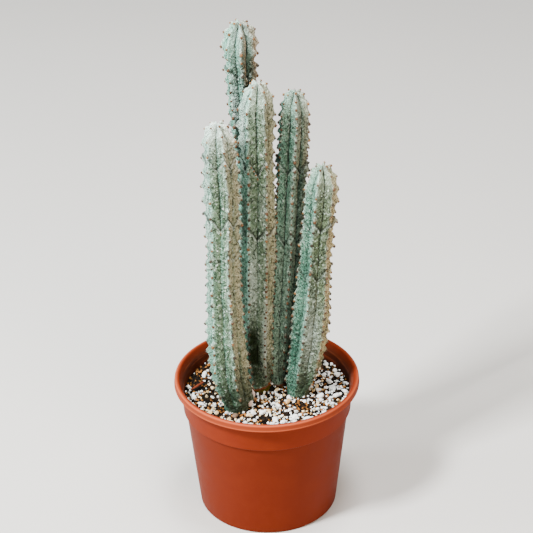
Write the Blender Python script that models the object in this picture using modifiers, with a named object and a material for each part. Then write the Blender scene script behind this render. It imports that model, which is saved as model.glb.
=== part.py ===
"""Potted columnar cactus: five ribbed, toothed stems standing in gritty soil in a round plastic pot.

Units are metres, +Z is up, and the origin is the centre of the pot's flat base. The front of the
plant faces -Y and its right side faces +X.
"""

import math
import random
from dataclasses import dataclass

import bmesh
import bpy
import numpy as np
from mathutils import Vector

# Fit
GAP = 0.0003

# Pot: a tapered body, a soft step out to a wider band, and a lip that hangs over the band
POT_HEIGHT = 0.1178
LIP_RADIUS = 0.0755
LIP_WIDTH = 0.0040
LIP_DEPTH = 0.0054
LIP_ROUND = 0.0011
BEAD_HEIGHT = 0.1098
BEAD_REACH = 0.0004
BAND_TOP_RADIUS = 0.0698
BAND_FOOT = 0.0905
BAND_FOOT_RADIUS = 0.0686
BAND_FOOT_ROUND = 0.0006
BODY_TOP = 0.0887
BODY_TOP_RADIUS = 0.0664
BASE_RADIUS = 0.0567
BASE_CHAMFER = 0.0010
WALL = 0.0017
FLOOR = 0.0020
THROAT_HEIGHT = 0.1110
POT_SIDES = 48
DRAIN_HOLES = 6
DRAIN_RING_RADIUS = 0.0380
DRAIN_RADIUS = 0.0040

# Soil: a filled mass whose top is crowded with angular grains
SOIL_LEVEL = 0.1018
GRAIN_PITCH = 0.0070
GRAIN_RISE = (0.0008, 0.0034)
GRAIN_BEVEL = (0.0010, 0.0018)
GRAIN_JITTER = 0.30
GRAIN_TILT = 0.0011
GRAIN_PAIRS = 0.22
SOIL_SEED = 11
HOLE_SIDES = 24

# Stems: what all five share
FOOT_BOTTOM = 0.0860
FOOT_ROUND = 0.0030
FOOT_TIP_SHARE = 0.7
FOOT_TOP = 0.1070
RIB_START = 0.1120
FIRST_TEETH = 0.1203
GROOVE_DEPTH = 0.20
TOOTH_PITCH = 0.0104
TOOTH_HALF_WIDTH = 0.0021
TOOTH_HEIGHT = 0.0023
CROWN_TOOTH_SHARE = 0.62
JOINT_HALF = 0.0016
JOINT_CLEAR = 0.0095
JOINT_ZIGZAG = 0.0040
JOINT_SWELL = 0.0004
CROWN_RINGS = ((30.0, 1.0, True), (54.0, 0.85, True), (73.0, 0.5, False))


@dataclass(frozen=True)
class Stem:
    """One stem: its ribs, its course up from the soil, its girth and its growth joints."""

    name: str
    ribs: int
    turn: float  # degrees from the front towards +X at which one crest faces
    top: float  # height of the crown's tip
    crown: float  # length of the domed crown
    foot: float  # radius of the round foot in the soil
    course: tuple  # (height, x, y) of the axis
    girth: tuple  # (height, radius of the rib crests)
    joints: tuple  # (height, how far the stem narrows there)
    colour: tuple


STEMS = (
    Stem(
        name="stem_left",
        ribs=6,
        turn=20.0,
        top=0.3540,
        crown=0.0170,
        foot=0.0100,
        course=(
            (0.0860, -0.0238, -0.0236),
            (0.1060, -0.0246, -0.0235),
            (0.1330, -0.0290, -0.0230),
            (0.1560, -0.0311, -0.0225),
            (0.2020, -0.0323, -0.0217),
            (0.2900, -0.0321, -0.0201),
            (0.3540, -0.0341, -0.0189),
        ),
        girth=(
            (0.1060, 0.0108),
            (0.1200, 0.0130),
            (0.1550, 0.0147),
            (0.2000, 0.0133),
            (0.2450, 0.0121),
            (0.2700, 0.0126),
            (0.2980, 0.0133),
            (0.3310, 0.0118),
            (0.3540, 0.0110),
        ),
        joints=((0.2440, 0.0004), (0.2710, 0.0013), (0.3170, 0.0003)),
        colour=(0.36, 0.45, 0.38),
    ),
    Stem(
        name="stem_tall",
        ribs=7,
        turn=6.0,
        top=0.4140,
        crown=0.0190,
        foot=0.0090,
        course=(
            (0.0860, -0.0075, 0.0325),
            (0.2260, -0.0077, 0.0325),
            (0.2630, -0.0080, 0.0324),
            (0.2960, -0.0094, 0.0323),
            (0.3440, -0.0140, 0.0321),
            (0.3700, -0.0162, 0.0320),
            (0.4140, -0.0164, 0.0318),
        ),
        girth=(
            (0.1060, 0.0092),
            (0.1400, 0.0112),
            (0.2260, 0.0121),
            (0.2950, 0.0120),
            (0.3450, 0.0116),
            (0.3700, 0.0113),
            (0.3930, 0.0126),
            (0.4140, 0.0121),
        ),
        joints=((0.1980, 0.0004), (0.2900, 0.0004), (0.3780, 0.0009)),
        colour=(0.34, 0.46, 0.40),
    ),
    Stem(
        name="stem_middle",
        ribs=6,
        turn=30.0,
        top=0.3770,
        crown=0.0220,
        foot=0.0078,
        course=(
            (0.0860, -0.0052, 0.0045),
            (0.1060, -0.0054, 0.0045),
            (0.1150, -0.0061, 0.0044),
            (0.2000, -0.0065, 0.0038),
            (0.2600, -0.0050, 0.0032),
            (0.3540, -0.0046, 0.0024),
            (0.3770, -0.0036, 0.0022),
        ),
        girth=(
            (0.1060, 0.0083),
            (0.1170, 0.0095),
            (0.1600, 0.0114),
            (0.2000, 0.0124),
            (0.2500, 0.0125),
            (0.3000, 0.0124),
            (0.3380, 0.0126),
            (0.3770, 0.0122),
        ),
        joints=((0.2440, 0.0006), (0.3030, 0.0010)),
        colour=(0.33, 0.44, 0.36),
    ),
    Stem(
        name="stem_inner",
        ribs=6,
        turn=5.0,
        top=0.3625,
        crown=0.0190,
        foot=0.0078,
        course=(
            (0.0860, 0.0116, 0.0125),
            (0.1060, 0.0118, 0.0130),
            (0.1330, 0.0132, 0.0143),
            (0.1820, 0.0165, 0.0170),
            (0.2280, 0.0188, 0.0180),
            (0.2980, 0.0224, 0.0180),
            (0.3400, 0.0242, 0.0180),
            (0.3625, 0.0250, 0.0180),
        ),
        girth=(
            (0.1060, 0.0083),
            (0.1330, 0.0098),
            (0.1800, 0.0117),
            (0.2260, 0.0121),
            (0.2540, 0.0119),
            (0.2780, 0.0113),
            (0.3100, 0.0122),
            (0.3360, 0.0111),
            (0.3625, 0.0106),
        ),
        joints=((0.2370, 0.0005), (0.2980, 0.0015)),
        colour=(0.27, 0.38, 0.34),
    ),
    Stem(
        name="stem_right",
        ribs=6,
        turn=40.0,
        top=0.3100,
        crown=0.0220,
        foot=0.0088,
        course=(
            (0.0860, 0.0222, -0.0030),
            (0.1060, 0.0252, -0.0030),
            (0.1190, 0.0288, -0.0031),
            (0.1430, 0.0329, -0.0031),
            (0.1900, 0.0374, -0.0033),
            (0.2440, 0.0411, -0.0035),
            (0.2800, 0.0440, -0.0036),
            (0.3100, 0.0451, -0.0037),
        ),
        girth=(
            (0.1060, 0.0095),
            (0.1190, 0.0119),
            (0.1500, 0.0139),
            (0.1900, 0.0132),
            (0.2130, 0.0121),
            (0.2460, 0.0116),
            (0.2700, 0.0122),
            (0.3100, 0.0120),
        ),
        joints=((0.2460, 0.0011),),
        colour=(0.35, 0.46, 0.39),
    ),
)

# Colours
TERRACOTTA = (0.42, 0.09, 0.03)
GRIT = (0.34, 0.31, 0.26)


def clear_scene():
    """Remove whatever objects the scene starts with."""
    for obj in list(bpy.data.objects):
        bpy.data.objects.remove(obj, do_unlink=True)


def new_collection(name):
    """Add an empty collection to the scene."""
    collection = bpy.data.collections.new(name)
    bpy.context.scene.collection.children.link(collection)
    return collection


def make_material(name, colour, roughness):
    """Make a plain Principled material."""
    material = bpy.data.materials.new(name)
    material.use_nodes = True
    shader = material.node_tree.nodes["Principled BSDF"]
    shader.inputs["Base Color"].default_value = (*colour, 1.0)
    shader.inputs["Roughness"].default_value = roughness
    shader.inputs["Metallic"].default_value = 0.0
    return material


def add_object(name, mesh, collection, material=None):
    """Put a mesh in a collection as a named object."""
    obj = bpy.data.objects.new(name, mesh)
    collection.objects.link(obj)
    if material is not None:
        mesh.materials.append(material)
    return obj


def add_mesh(name, bm, collection, material=None):
    """Turn a bmesh into a named object."""
    mesh = bpy.data.meshes.new(name)
    bm.to_mesh(mesh)
    bm.free()
    return add_object(name, mesh, collection, material)


def hide_cutter(obj):
    """Show a cutter as wires only."""
    obj.hide_render = True
    obj.display_type = "WIRE"


def add_boolean(obj, cutter, operation):
    """Cut or trim an object by a cutter."""
    modifier = obj.modifiers.new(cutter.name, "BOOLEAN")
    modifier.operation = operation
    modifier.object = cutter
    modifier.solver = "EXACT"


def turned_object(name, outline, collection, material=None):
    """Turn an outline of (radius, height) points about +Z, from the axis round to the axis."""
    mesh = bpy.data.meshes.new(name)
    points = [(radius, 0.0, height) for radius, height in outline]
    edges = [(i, i + 1) for i in range(len(points) - 1)]
    mesh.from_pydata(points, edges, [])
    obj = add_object(name, mesh, collection, material)
    screw = obj.modifiers.new("turn", "SCREW")
    screw.axis = "Z"
    screw.steps = POT_SIDES
    screw.render_steps = POT_SIDES
    screw.use_merge_vertices = True
    screw.merge_threshold = 0.00001
    screw.use_smooth_shade = True
    return obj


def inner_wall(clearance):
    """Points of the pot's inner wall from its floor to its throat, drawn in by a clearance."""
    inset = WALL + clearance
    return [
        (BASE_RADIUS - inset, FLOOR + clearance),
        (BODY_TOP_RADIUS - inset, BODY_TOP),
        (BAND_FOOT_RADIUS - inset, BAND_FOOT),
        (BAND_TOP_RADIUS - inset, THROAT_HEIGHT),
    ]


def pot_outline():
    """The pot's section: out over its floor, up inside, over the lip and down the outside."""
    lip_inner = LIP_RADIUS - LIP_WIDTH
    lip_bottom = POT_HEIGHT - LIP_DEPTH
    eased = LIP_ROUND * (1.0 - math.sqrt(0.5))
    lip = [
        (lip_inner, POT_HEIGHT - LIP_ROUND),
        (lip_inner + LIP_ROUND, POT_HEIGHT),
        (LIP_RADIUS - LIP_ROUND, POT_HEIGHT),
        (LIP_RADIUS - eased, POT_HEIGHT - eased),
        (LIP_RADIUS, POT_HEIGHT - LIP_ROUND),
        (LIP_RADIUS, lip_bottom + LIP_ROUND / 2.0),
        (LIP_RADIUS - LIP_ROUND / 2.0, lip_bottom),
        (BAND_TOP_RADIUS + BEAD_REACH, lip_bottom),
    ]
    outside = [
        (BAND_TOP_RADIUS + BEAD_REACH, BEAD_HEIGHT),
        (BAND_TOP_RADIUS, BEAD_HEIGHT - BEAD_REACH),
        (BAND_FOOT_RADIUS, BAND_FOOT + BAND_FOOT_ROUND),
        (BAND_FOOT_RADIUS - BAND_FOOT_ROUND, BAND_FOOT - BAND_FOOT_ROUND / 2.0),
        (BODY_TOP_RADIUS, BODY_TOP),
        (BASE_RADIUS, BASE_CHAMFER),
        (BASE_RADIUS - BASE_CHAMFER, 0.0),
        (0.0, 0.0),
    ]
    return [(0.0, FLOOR)] + inner_wall(0.0) + lip + outside


def make_pot(parts, cutters):
    """The pot: a turned shell with a ring of drain holes in its floor."""
    pot = turned_object("pot", pot_outline(), parts, make_material("pot", TERRACOTTA, 0.42))
    bm = bmesh.new()
    for index in range(DRAIN_HOLES):
        angle = 2.0 * math.pi * (index + 0.5) / DRAIN_HOLES
        drilled = bmesh.ops.create_cone(
            bm,
            cap_ends=True,
            segments=16,
            radius1=DRAIN_RADIUS,
            radius2=DRAIN_RADIUS,
            depth=4.0 * FLOOR,
        )
        centre = Vector((math.cos(angle), math.sin(angle), 0.0)) * DRAIN_RING_RADIUS
        bmesh.ops.translate(bm, verts=drilled["verts"], vec=centre)
    drains = add_mesh("drain_holes", bm, cutters)
    hide_cutter(drains)
    add_boolean(pot, drains, "DIFFERENCE")


def merge_some_cells(bm, rng):
    """Join a share of neighbouring cells in pairs, so that grains differ in size."""
    merged = set()
    seams = []
    for edge in bm.edges:
        if len(edge.link_faces) == 2 and not merged.intersection(edge.link_faces):
            if rng.random() < GRAIN_PAIRS:
                merged.update(edge.link_faces)
                seams.append(edge)
    bmesh.ops.dissolve_edges(bm, edges=seams, use_verts=False)


def gravel_slab():
    """A slab whose top is a pavement of angular grains with open seams between them."""
    rng = random.Random(SOIL_SEED)
    rows = 2 * math.ceil(LIP_RADIUS / GRAIN_PITCH)
    half = rows * GRAIN_PITCH / 2.0
    bm = bmesh.new()
    bmesh.ops.create_grid(bm, x_segments=rows, y_segments=rows, size=half)
    for vertex in bm.verts:
        vertex.co.z = SOIL_LEVEL
        if not vertex.is_boundary:
            reach = GRAIN_JITTER * GRAIN_PITCH
            vertex.co.x += rng.uniform(-reach, reach)
            vertex.co.y += rng.uniform(-reach, reach)
    merge_some_cells(bm, rng)
    for face in list(bm.faces):
        bmesh.ops.inset_individual(
            bm,
            faces=[face],
            thickness=rng.uniform(*GRAIN_BEVEL),
            depth=rng.uniform(*GRAIN_RISE),
        )
        for vertex in face.verts:
            vertex.co.z += rng.uniform(-GRAIN_TILT, GRAIN_TILT)
    rim = [edge for edge in bm.edges if edge.is_boundary]
    skirt = bmesh.ops.extrude_edge_only(bm, edges=rim)["geom"]
    lowered = [item for item in skirt if isinstance(item, bmesh.types.BMVert)]
    for vertex in lowered:
        vertex.co.z = -FLOOR
    hem = [item for item in skirt if isinstance(item, bmesh.types.BMEdge)]
    bmesh.ops.contextual_create(bm, geom=[edge for edge in hem if edge.is_boundary])
    bmesh.ops.triangulate(bm, faces=bm.faces)
    bmesh.ops.recalc_face_normals(bm, faces=bm.faces)
    return bm


def make_soil(parts, cutters):
    """The soil: the grain slab trimmed to the pot's inside, with a plain hole for each stem."""
    soil = add_mesh("soil", gravel_slab(), parts, make_material("soil", GRIT, 0.9))
    wall = inner_wall(GAP)
    outline = [(0.0, POT_HEIGHT)] + [(wall[-1][0], POT_HEIGHT)] + wall[::-1] + [(0.0, FLOOR + GAP)]
    trim = turned_object("soil_trim", outline, cutters)
    hide_cutter(trim)
    add_boolean(soil, trim, "INTERSECT")
    bm = bmesh.new()
    bottom = FOOT_BOTTOM - GAP
    for stem in STEMS:
        radius = (stem.foot + GAP) / math.cos(math.pi / HOLE_SIDES)
        bored = bmesh.ops.create_cone(
            bm,
            cap_ends=True,
            segments=HOLE_SIDES,
            radius1=radius,
            radius2=radius,
            depth=POT_HEIGHT - bottom,
        )
        centre = Vector((*axis_point(stem, FOOT_BOTTOM), (POT_HEIGHT + bottom) / 2.0))
        bmesh.ops.translate(bm, verts=bored["verts"], vec=centre)
    holes = add_mesh("stem_holes", bm, cutters)
    hide_cutter(holes)
    add_boolean(soil, holes, "DIFFERENCE")


def through(knots, height):
    """Values at a height on the smooth curve through (height, value, ...) knots."""
    table = np.array(knots)
    heights = table[:, 0]
    values = table[:, 1:]
    slopes = np.gradient(values, heights, axis=0)
    clamped = min(max(height, heights[0]), heights[-1])
    low = min(int(np.searchsorted(heights, clamped, side="right")) - 1, len(heights) - 2)
    span = heights[low + 1] - heights[low]
    t = (clamped - heights[low]) / span
    rise = t * t * (3.0 - 2.0 * t)
    lead = t * (1.0 - t) ** 2 * span
    trail = t * t * (t - 1.0) * span
    blend = values[low] * (1.0 - rise) + values[low + 1] * rise
    return blend + slopes[low] * lead + slopes[low + 1] * trail


def axis_point(stem, height):
    """Where a stem's axis stands, as (x, y): upright up to the foot's top, then on its course."""
    return through(stem.course, max(height, FOOT_TOP))


@dataclass(frozen=True)
class Ring:
    """One ring of a stem's points."""

    height: float
    radius: float
    ribbing: float = 1.0  # share of the full groove depth
    zigzag: float = 0.0  # how far crests stand above, and grooves below, the ring's height
    stagger: float = 1.0  # share of the half pitch between neighbouring crests' teeth
    tooth: float = 1.0  # size of its teeth, 0 for none


def ring_plan(stem):
    """The rings of a stem, from the foot in the soil to just under the crown's tip."""
    rings = [
        Ring(FOOT_BOTTOM, FOOT_TIP_SHARE * stem.foot, ribbing=0.0, stagger=0.0, tooth=0.0),
        Ring(FOOT_BOTTOM + FOOT_ROUND, stem.foot, ribbing=0.0, stagger=0.0, tooth=0.0),
        Ring(FOOT_TOP, stem.foot, ribbing=0.0, stagger=0.0, tooth=0.0),
        Ring(RIB_START, through(stem.girth, RIB_START)[0], ribbing=0.7, stagger=0.0, tooth=0.0),
    ]
    low = FIRST_TEETH
    shoulder = stem.top - stem.crown
    for height, dip in stem.joints:
        rings += run_of_rings(stem, low, height - JOINT_CLEAR)
        girth = through(stem.girth, height)[0]
        below = height - JOINT_HALF
        above = height + JOINT_HALF
        rings.append(Ring(below, girth + JOINT_SWELL, 1.0, JOINT_ZIGZAG, 0.0, 0.0))
        rings.append(Ring(above, girth - dip, 1.0, JOINT_ZIGZAG, 0.0, 0.0))
        low = height + JOINT_CLEAR
    rings += run_of_rings(stem, low, shoulder)
    for angle, ribbing, toothed in CROWN_RINGS:
        lift = math.radians(angle)
        height = shoulder + stem.crown * math.sin(lift)
        radius = through(stem.girth, height)[0] * math.cos(lift)
        tooth = CROWN_TOOTH_SHARE if toothed else 0.0
        rings.append(Ring(height, radius, ribbing, stagger=0.0, tooth=tooth))
    return rings


def run_of_rings(stem, low, high):
    """Evenly spaced toothed rings between two heights."""
    count = max(1, round((high - low) / TOOTH_PITCH))
    heights = [low + (high - low) * step / count for step in range(count + 1)]
    return [Ring(height, through(stem.girth, height)[0]) for height in heights]


def ring_point(stem, ring, column):
    """One point of a ring: even columns run along the rib crests and odd ones down the grooves."""
    is_crest = column % 2 == 0
    if is_crest:
        lean = 0.5 * (column // 2 % 2)
        lift = ring.zigzag
        radius = ring.radius
    else:
        lean = 0.25
        lift = -ring.zigzag
        radius = ring.radius * (1.0 - GROOVE_DEPTH * ring.ribbing)
    height = ring.height + lift + lean * ring.stagger * TOOTH_PITCH
    angle = math.radians(stem.turn - 90.0) + math.pi * column / stem.ribs
    x, y = axis_point(stem, height)
    return Vector((x + radius * math.cos(angle), y + radius * math.sin(angle), height))


def make_stem(stem, parts):
    """A stem: a sphere's rings set along the axis, drawn in at the grooves, with raised teeth."""
    rings = ring_plan(stem)
    columns = 2 * stem.ribs
    bm = bmesh.new()
    bmesh.ops.create_uvsphere(bm, u_segments=columns, v_segments=len(rings) + 1, radius=1.0)
    crests = {}
    for vertex in bm.verts:
        polar = math.acos(max(-1.0, min(1.0, vertex.co.z)))
        row = len(rings) - round(polar / math.pi * (len(rings) + 1))
        if row < 0:
            vertex.co = (*axis_point(stem, FOOT_BOTTOM), FOOT_BOTTOM)
        elif row == len(rings):
            vertex.co = (*axis_point(stem, stem.top), stem.top)
        else:
            turn = math.atan2(vertex.co.y, vertex.co.x) / (2.0 * math.pi)
            column = round(turn * columns) % columns
            vertex.co = ring_point(stem, rings[row], column)
            if column % 2 == 0 and rings[row].tooth > 0.0:
                crests.setdefault(rings[row].tooth, []).append(vertex)
    for share, vertices in crests.items():
        raise_teeth(bm, vertices, share)
    bmesh.ops.triangulate(bm, faces=bm.faces)
    obj = add_mesh(stem.name, bm, parts, make_material(stem.name, stem.colour, 0.75))
    obj.data.shade_smooth()
    obj.data.set_sharp_from_angle(angle=math.radians(35.0))


def raise_teeth(bm, crests, share):
    """Cut each crest point to a small diamond and draw the diamond out to a blunt tooth."""
    cut = bmesh.ops.bevel(
        bm,
        geom=crests,
        offset=TOOTH_HALF_WIDTH * share,
        offset_type="OFFSET",
        segments=1,
        profile=0.5,
        affect="VERTICES",
        material=-1,
    )
    bmesh.ops.poke(bm, faces=cut["faces"], offset=TOOTH_HEIGHT * share)


def main():
    """Build the pot, the soil and the stems."""
    clear_scene()
    parts = new_collection("potted_columnar_cactus")
    cutters = new_collection("cutters")
    make_pot(parts, cutters)
    make_soil(parts, cutters)
    for stem in STEMS:
        make_stem(stem, parts)


main()
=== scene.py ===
"""Looks of a potted columnar cactus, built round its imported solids.

Units are metres, +Z is up, the plant's front faces -Y, and each piece lies where its solid lies.
"""

import logging
import math
import random
from dataclasses import dataclass
from enum import Enum
from typing import Optional, Sequence, Union

import bmesh
import bpy
import numpy as np
from bmesh.types import BMesh
from bpy.types import ID, Material, Mesh, Node, NodeSocket, NodeTree, Object
from mathutils import Euler, Matrix, Vector, noise


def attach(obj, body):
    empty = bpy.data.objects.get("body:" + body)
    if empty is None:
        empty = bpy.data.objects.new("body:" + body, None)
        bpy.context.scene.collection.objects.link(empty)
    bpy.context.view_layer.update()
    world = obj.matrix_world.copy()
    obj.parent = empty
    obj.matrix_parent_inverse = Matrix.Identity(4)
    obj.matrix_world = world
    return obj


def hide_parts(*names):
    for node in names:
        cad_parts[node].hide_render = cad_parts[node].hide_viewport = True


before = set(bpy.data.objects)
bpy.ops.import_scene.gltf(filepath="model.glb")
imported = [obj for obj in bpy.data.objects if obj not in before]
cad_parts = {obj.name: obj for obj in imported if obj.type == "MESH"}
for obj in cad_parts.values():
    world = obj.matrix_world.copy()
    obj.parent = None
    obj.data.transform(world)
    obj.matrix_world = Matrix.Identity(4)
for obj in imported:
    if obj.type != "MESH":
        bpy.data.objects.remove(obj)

LOG = logging.getLogger("potted_cactus")
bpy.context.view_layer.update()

Colour = tuple[float, ...]
Spot = tuple[float, float, float]
Knots = tuple[tuple[float, ...], ...]
Source = Union[NodeSocket, float, Colour]
Feeds = dict[Union[int, str], Source]
Tooth = tuple[int, float, float]

FULL_TURN = 2.0 * math.pi


def tone(*screen: int) -> Colour:
    """Turn red, green and blue from 0 to 255 into the linear colour that a shader takes."""
    shares = [value / 255.0 for value in screen]
    return tuple(x / 12.92 if x <= 0.04045 else ((x + 0.055) / 1.055) ** 2.4 for x in shares)


def ease(values: np.ndarray, low: float, high: float) -> np.ndarray:
    """Rise smoothly from 0 where a value is low to 1 where it is high."""
    share = np.clip((values - low) / (high - low), 0.0, 1.0)
    return share * share * (3.0 - 2.0 * share)


def bell(values: np.ndarray, width: float) -> np.ndarray:
    """Fall off smoothly from 1 at nought to about a third at the width."""
    return np.exp(-((values / width) ** 2))


def curve_through(knots: Knots, spots: np.ndarray) -> np.ndarray:
    """Read the smooth curve through a few knots.

    Args:
        knots: Rows of a height and the values there.
        spots: The heights to read at.

    Returns:
        One row of values for each height.
    """
    table = np.array(knots)
    heights, values = table[:, 0], table[:, 1:]
    slopes = np.gradient(values, heights, axis=0)
    clamped = np.clip(spots, heights[0], heights[-1])
    low = np.clip(np.searchsorted(heights, clamped, side="right") - 1, 0, len(heights) - 2)
    span = (heights[low + 1] - heights[low])[:, None]
    t = (clamped - heights[low])[:, None] / span
    rise = t * t * (3.0 - 2.0 * t)
    blend = values[low] * (1.0 - rise) + values[low + 1] * rise
    blend += slopes[low] * t * (1.0 - t) ** 2 * span
    return blend + slopes[low + 1] * t * t * (t - 1.0) * span


def rough_field(points: np.ndarray, wave: float, seed: float) -> np.ndarray:
    """Read smooth random relief, from about -1 to 1, whose bumps are a wave apart."""
    shift = Vector((seed * 3.1, seed * 7.7, seed * 1.3))
    return np.array([noise.noise(Vector(row) + shift) for row in (points / wave).tolist()])


class Graph:
    """A node tree with short calls for the nodes that the finishes use."""

    def __init__(self, tree: NodeTree) -> None:
        """Keep the tree that nodes are added to."""
        self.tree = tree

    def feed(self, node: Node, feeds: Feeds) -> None:
        """Link or set inputs of a node.

        Args:
            node: The node.
            feeds: An output socket, a number or a colour for each input.
        """
        for name, source in feeds.items():
            socket = node.inputs[name]
            if isinstance(source, NodeSocket):
                self.tree.links.new(source, socket)
            else:
                socket.default_value = (*source, 1.0) if socket.type == "RGBA" else source

    def add(self, kind: str, feeds: Optional[Feeds] = None, **settings: object) -> Node:
        """Add a node.

        Args:
            kind: The node's type.
            feeds: What its inputs get.
            **settings: Properties to set on it.

        Returns:
            The new node.
        """
        node = self.tree.nodes.new(kind)
        for name, value in settings.items():
            setattr(node, name, value)
        self.feed(node, feeds or {})
        return node

    def math(self, operation: str, first: Source, second: Source) -> NodeSocket:
        """Combine two values and keep the result from 0 to 1."""
        feeds = {0: first, 1: second}
        return self.add("ShaderNodeMath", feeds, operation=operation, use_clamp=True).outputs[0]

    def times(self, first: Source, second: Source) -> NodeSocket:
        """Multiply two values."""
        return self.math("MULTIPLY", first, second)

    def most(self, first: Source, second: Source) -> NodeSocket:
        """Take the larger of two values."""
        return self.math("MAXIMUM", first, second)

    def mix(self, share: Source, first: Source, second: Source) -> NodeSocket:
        """Blend from the first colour to the second by a share."""
        feeds = {0: share, 6: first, 7: second}
        return self.add("ShaderNodeMix", feeds, data_type="RGBA").outputs[2]

    def coat(self, colour: Source, *coats: tuple[Source, Colour]) -> Source:
        """Lay coats over a colour.

        Args:
            colour: The colour below.
            *coats: How much of each coat shows, and its colour.

        Returns:
            The colour on top.
        """
        for share, paint in coats:
            colour = self.mix(share, colour, paint)
        return colour

    def place(self, stretch: Spot = (1.0, 1.0, 1.0)) -> NodeSocket:
        """Read the piece's own coordinates, scaled along each axis."""
        spot = self.add("ShaderNodeTexCoord").outputs["Object"]
        return self.add("ShaderNodeMapping", {"Vector": spot, "Scale": stretch}).outputs["Vector"]

    def noise(
        self, place: Source, scale: float, detail: float = 3.0, rough: float = 0.55
    ) -> NodeSocket:
        """Add a cloudy pattern, scaled in clouds a metre."""
        feeds = {"Vector": place, "Scale": scale, "Detail": detail, "Roughness": rough}
        return self.add("ShaderNodeTexNoise", feeds).outputs["Fac"]

    def cells(self, place: Source, scale: float) -> NodeSocket:
        """Add the distance to the middle of the nearest cell, scaled in cells a metre."""
        feeds = {"Vector": place, "Scale": scale}
        return self.add("ShaderNodeTexVoronoi", feeds).outputs["Distance"]

    def span(
        self, value: Source, low: float, high: float, start: float = 0.0, end: float = 1.0
    ) -> NodeSocket:
        """Map the range from low to high smoothly onto the one from start to end."""
        feeds = dict(enumerate((value, low, high, start, end)))
        return self.add("ShaderNodeMapRange", feeds, interpolation_type="SMOOTHSTEP").outputs[0]

    def mark(self, name: str) -> NodeSocket:
        """Read a mark that is stored on the mesh."""
        return self.add("ShaderNodeAttribute", attribute_name=name).outputs["Fac"]

    def bump(self, height: Source, depth: float) -> NodeSocket:
        """Turn a height pattern into shading relief, its depth in metres."""
        return self.add("ShaderNodeBump", {"Distance": depth, "Height": height}).outputs["Normal"]

    def effect(self, group: NodeTree, place: Source) -> Node:
        """Use a shared effect at a place."""
        return self.add("ShaderNodeGroup", {"Place": place}, node_tree=group)


@dataclass(frozen=True)
class Effects:
    """The patterns that several finishes share."""

    wrinkle: NodeTree
    mineral: NodeTree

    @staticmethod
    def group(name: str, results: Sequence[str]) -> tuple[Graph, NodeSocket, Node]:
        """Start a node group that reads a place and gives values.

        Args:
            name: The group's name.
            results: Names of the values that it gives.

        Returns:
            The group's graph, the place that it reads and its output node.
        """
        tree = bpy.data.node_groups.new(name, "ShaderNodeTree")
        tree.interface.new_socket("Place", in_out="INPUT", socket_type="NodeSocketVector")
        for result in results:
            tree.interface.new_socket(result, in_out="OUTPUT", socket_type="NodeSocketFloat")
        graph = Graph(tree)
        place = graph.add("NodeGroupInput").outputs["Place"]
        return graph, place, graph.add("NodeGroupOutput")

    @classmethod
    def make(cls) -> "Effects":
        """Build the shared effects.

        Returns:
            The effects.
        """
        graph, place, leave = cls.group("wrinkled_skin", ("Specks", "Pits", "Height"))
        crumple = graph.noise(place, 320.0, 2.0, 0.5)
        fold = graph.noise(place, 210.0, 1.0, 0.5)
        grit = graph.noise(place, 660.0, 2.0, 0.6)
        line = graph.times(graph.span(fold, 0.46, 0.5), graph.span(fold, 0.54, 0.5))
        line = graph.times(line, graph.span(crumple, 0.40, 0.55))
        uneven = graph.span(crumple, 0.38, 0.58, 0.45, 1.0)
        grain = graph.span(grit, 0.25, 0.75, 0.0, 0.7)
        dome = graph.math("SUBTRACT", grain, graph.times(line, 0.3))
        graph.feed(leave, {
            "Specks": graph.times(graph.span(grit, 0.59, 0.64), uneven),
            "Pits": graph.most(graph.span(grit, 0.41, 0.37), line),
            "Height": graph.math("ADD", dome, graph.times(crumple, 0.5)),
        })
        wrinkle = graph.tree

        graph, place, leave = cls.group("mineral_grain", ("Cloud", "Height"))
        cloud = graph.noise(place, 260.0, 4.0, 0.6)
        pores = graph.times(graph.cells(place, 1300.0), 0.3)
        graph.feed(leave, {
            "Cloud": graph.span(cloud, 0.35, 0.68), "Height": graph.math("ADD", cloud, pores)
        })
        return cls(wrinkle=wrinkle, mineral=graph.tree)


def new_material(name: str) -> tuple[Material, Graph, Node]:
    """Start a Principled material.

    Args:
        name: The material's name.

    Returns:
        The material, its graph and its Principled node.
    """
    material = bpy.data.materials.new(name)
    material.use_nodes = True
    return material, Graph(material.node_tree), material.node_tree.nodes["Principled BSDF"]


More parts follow.
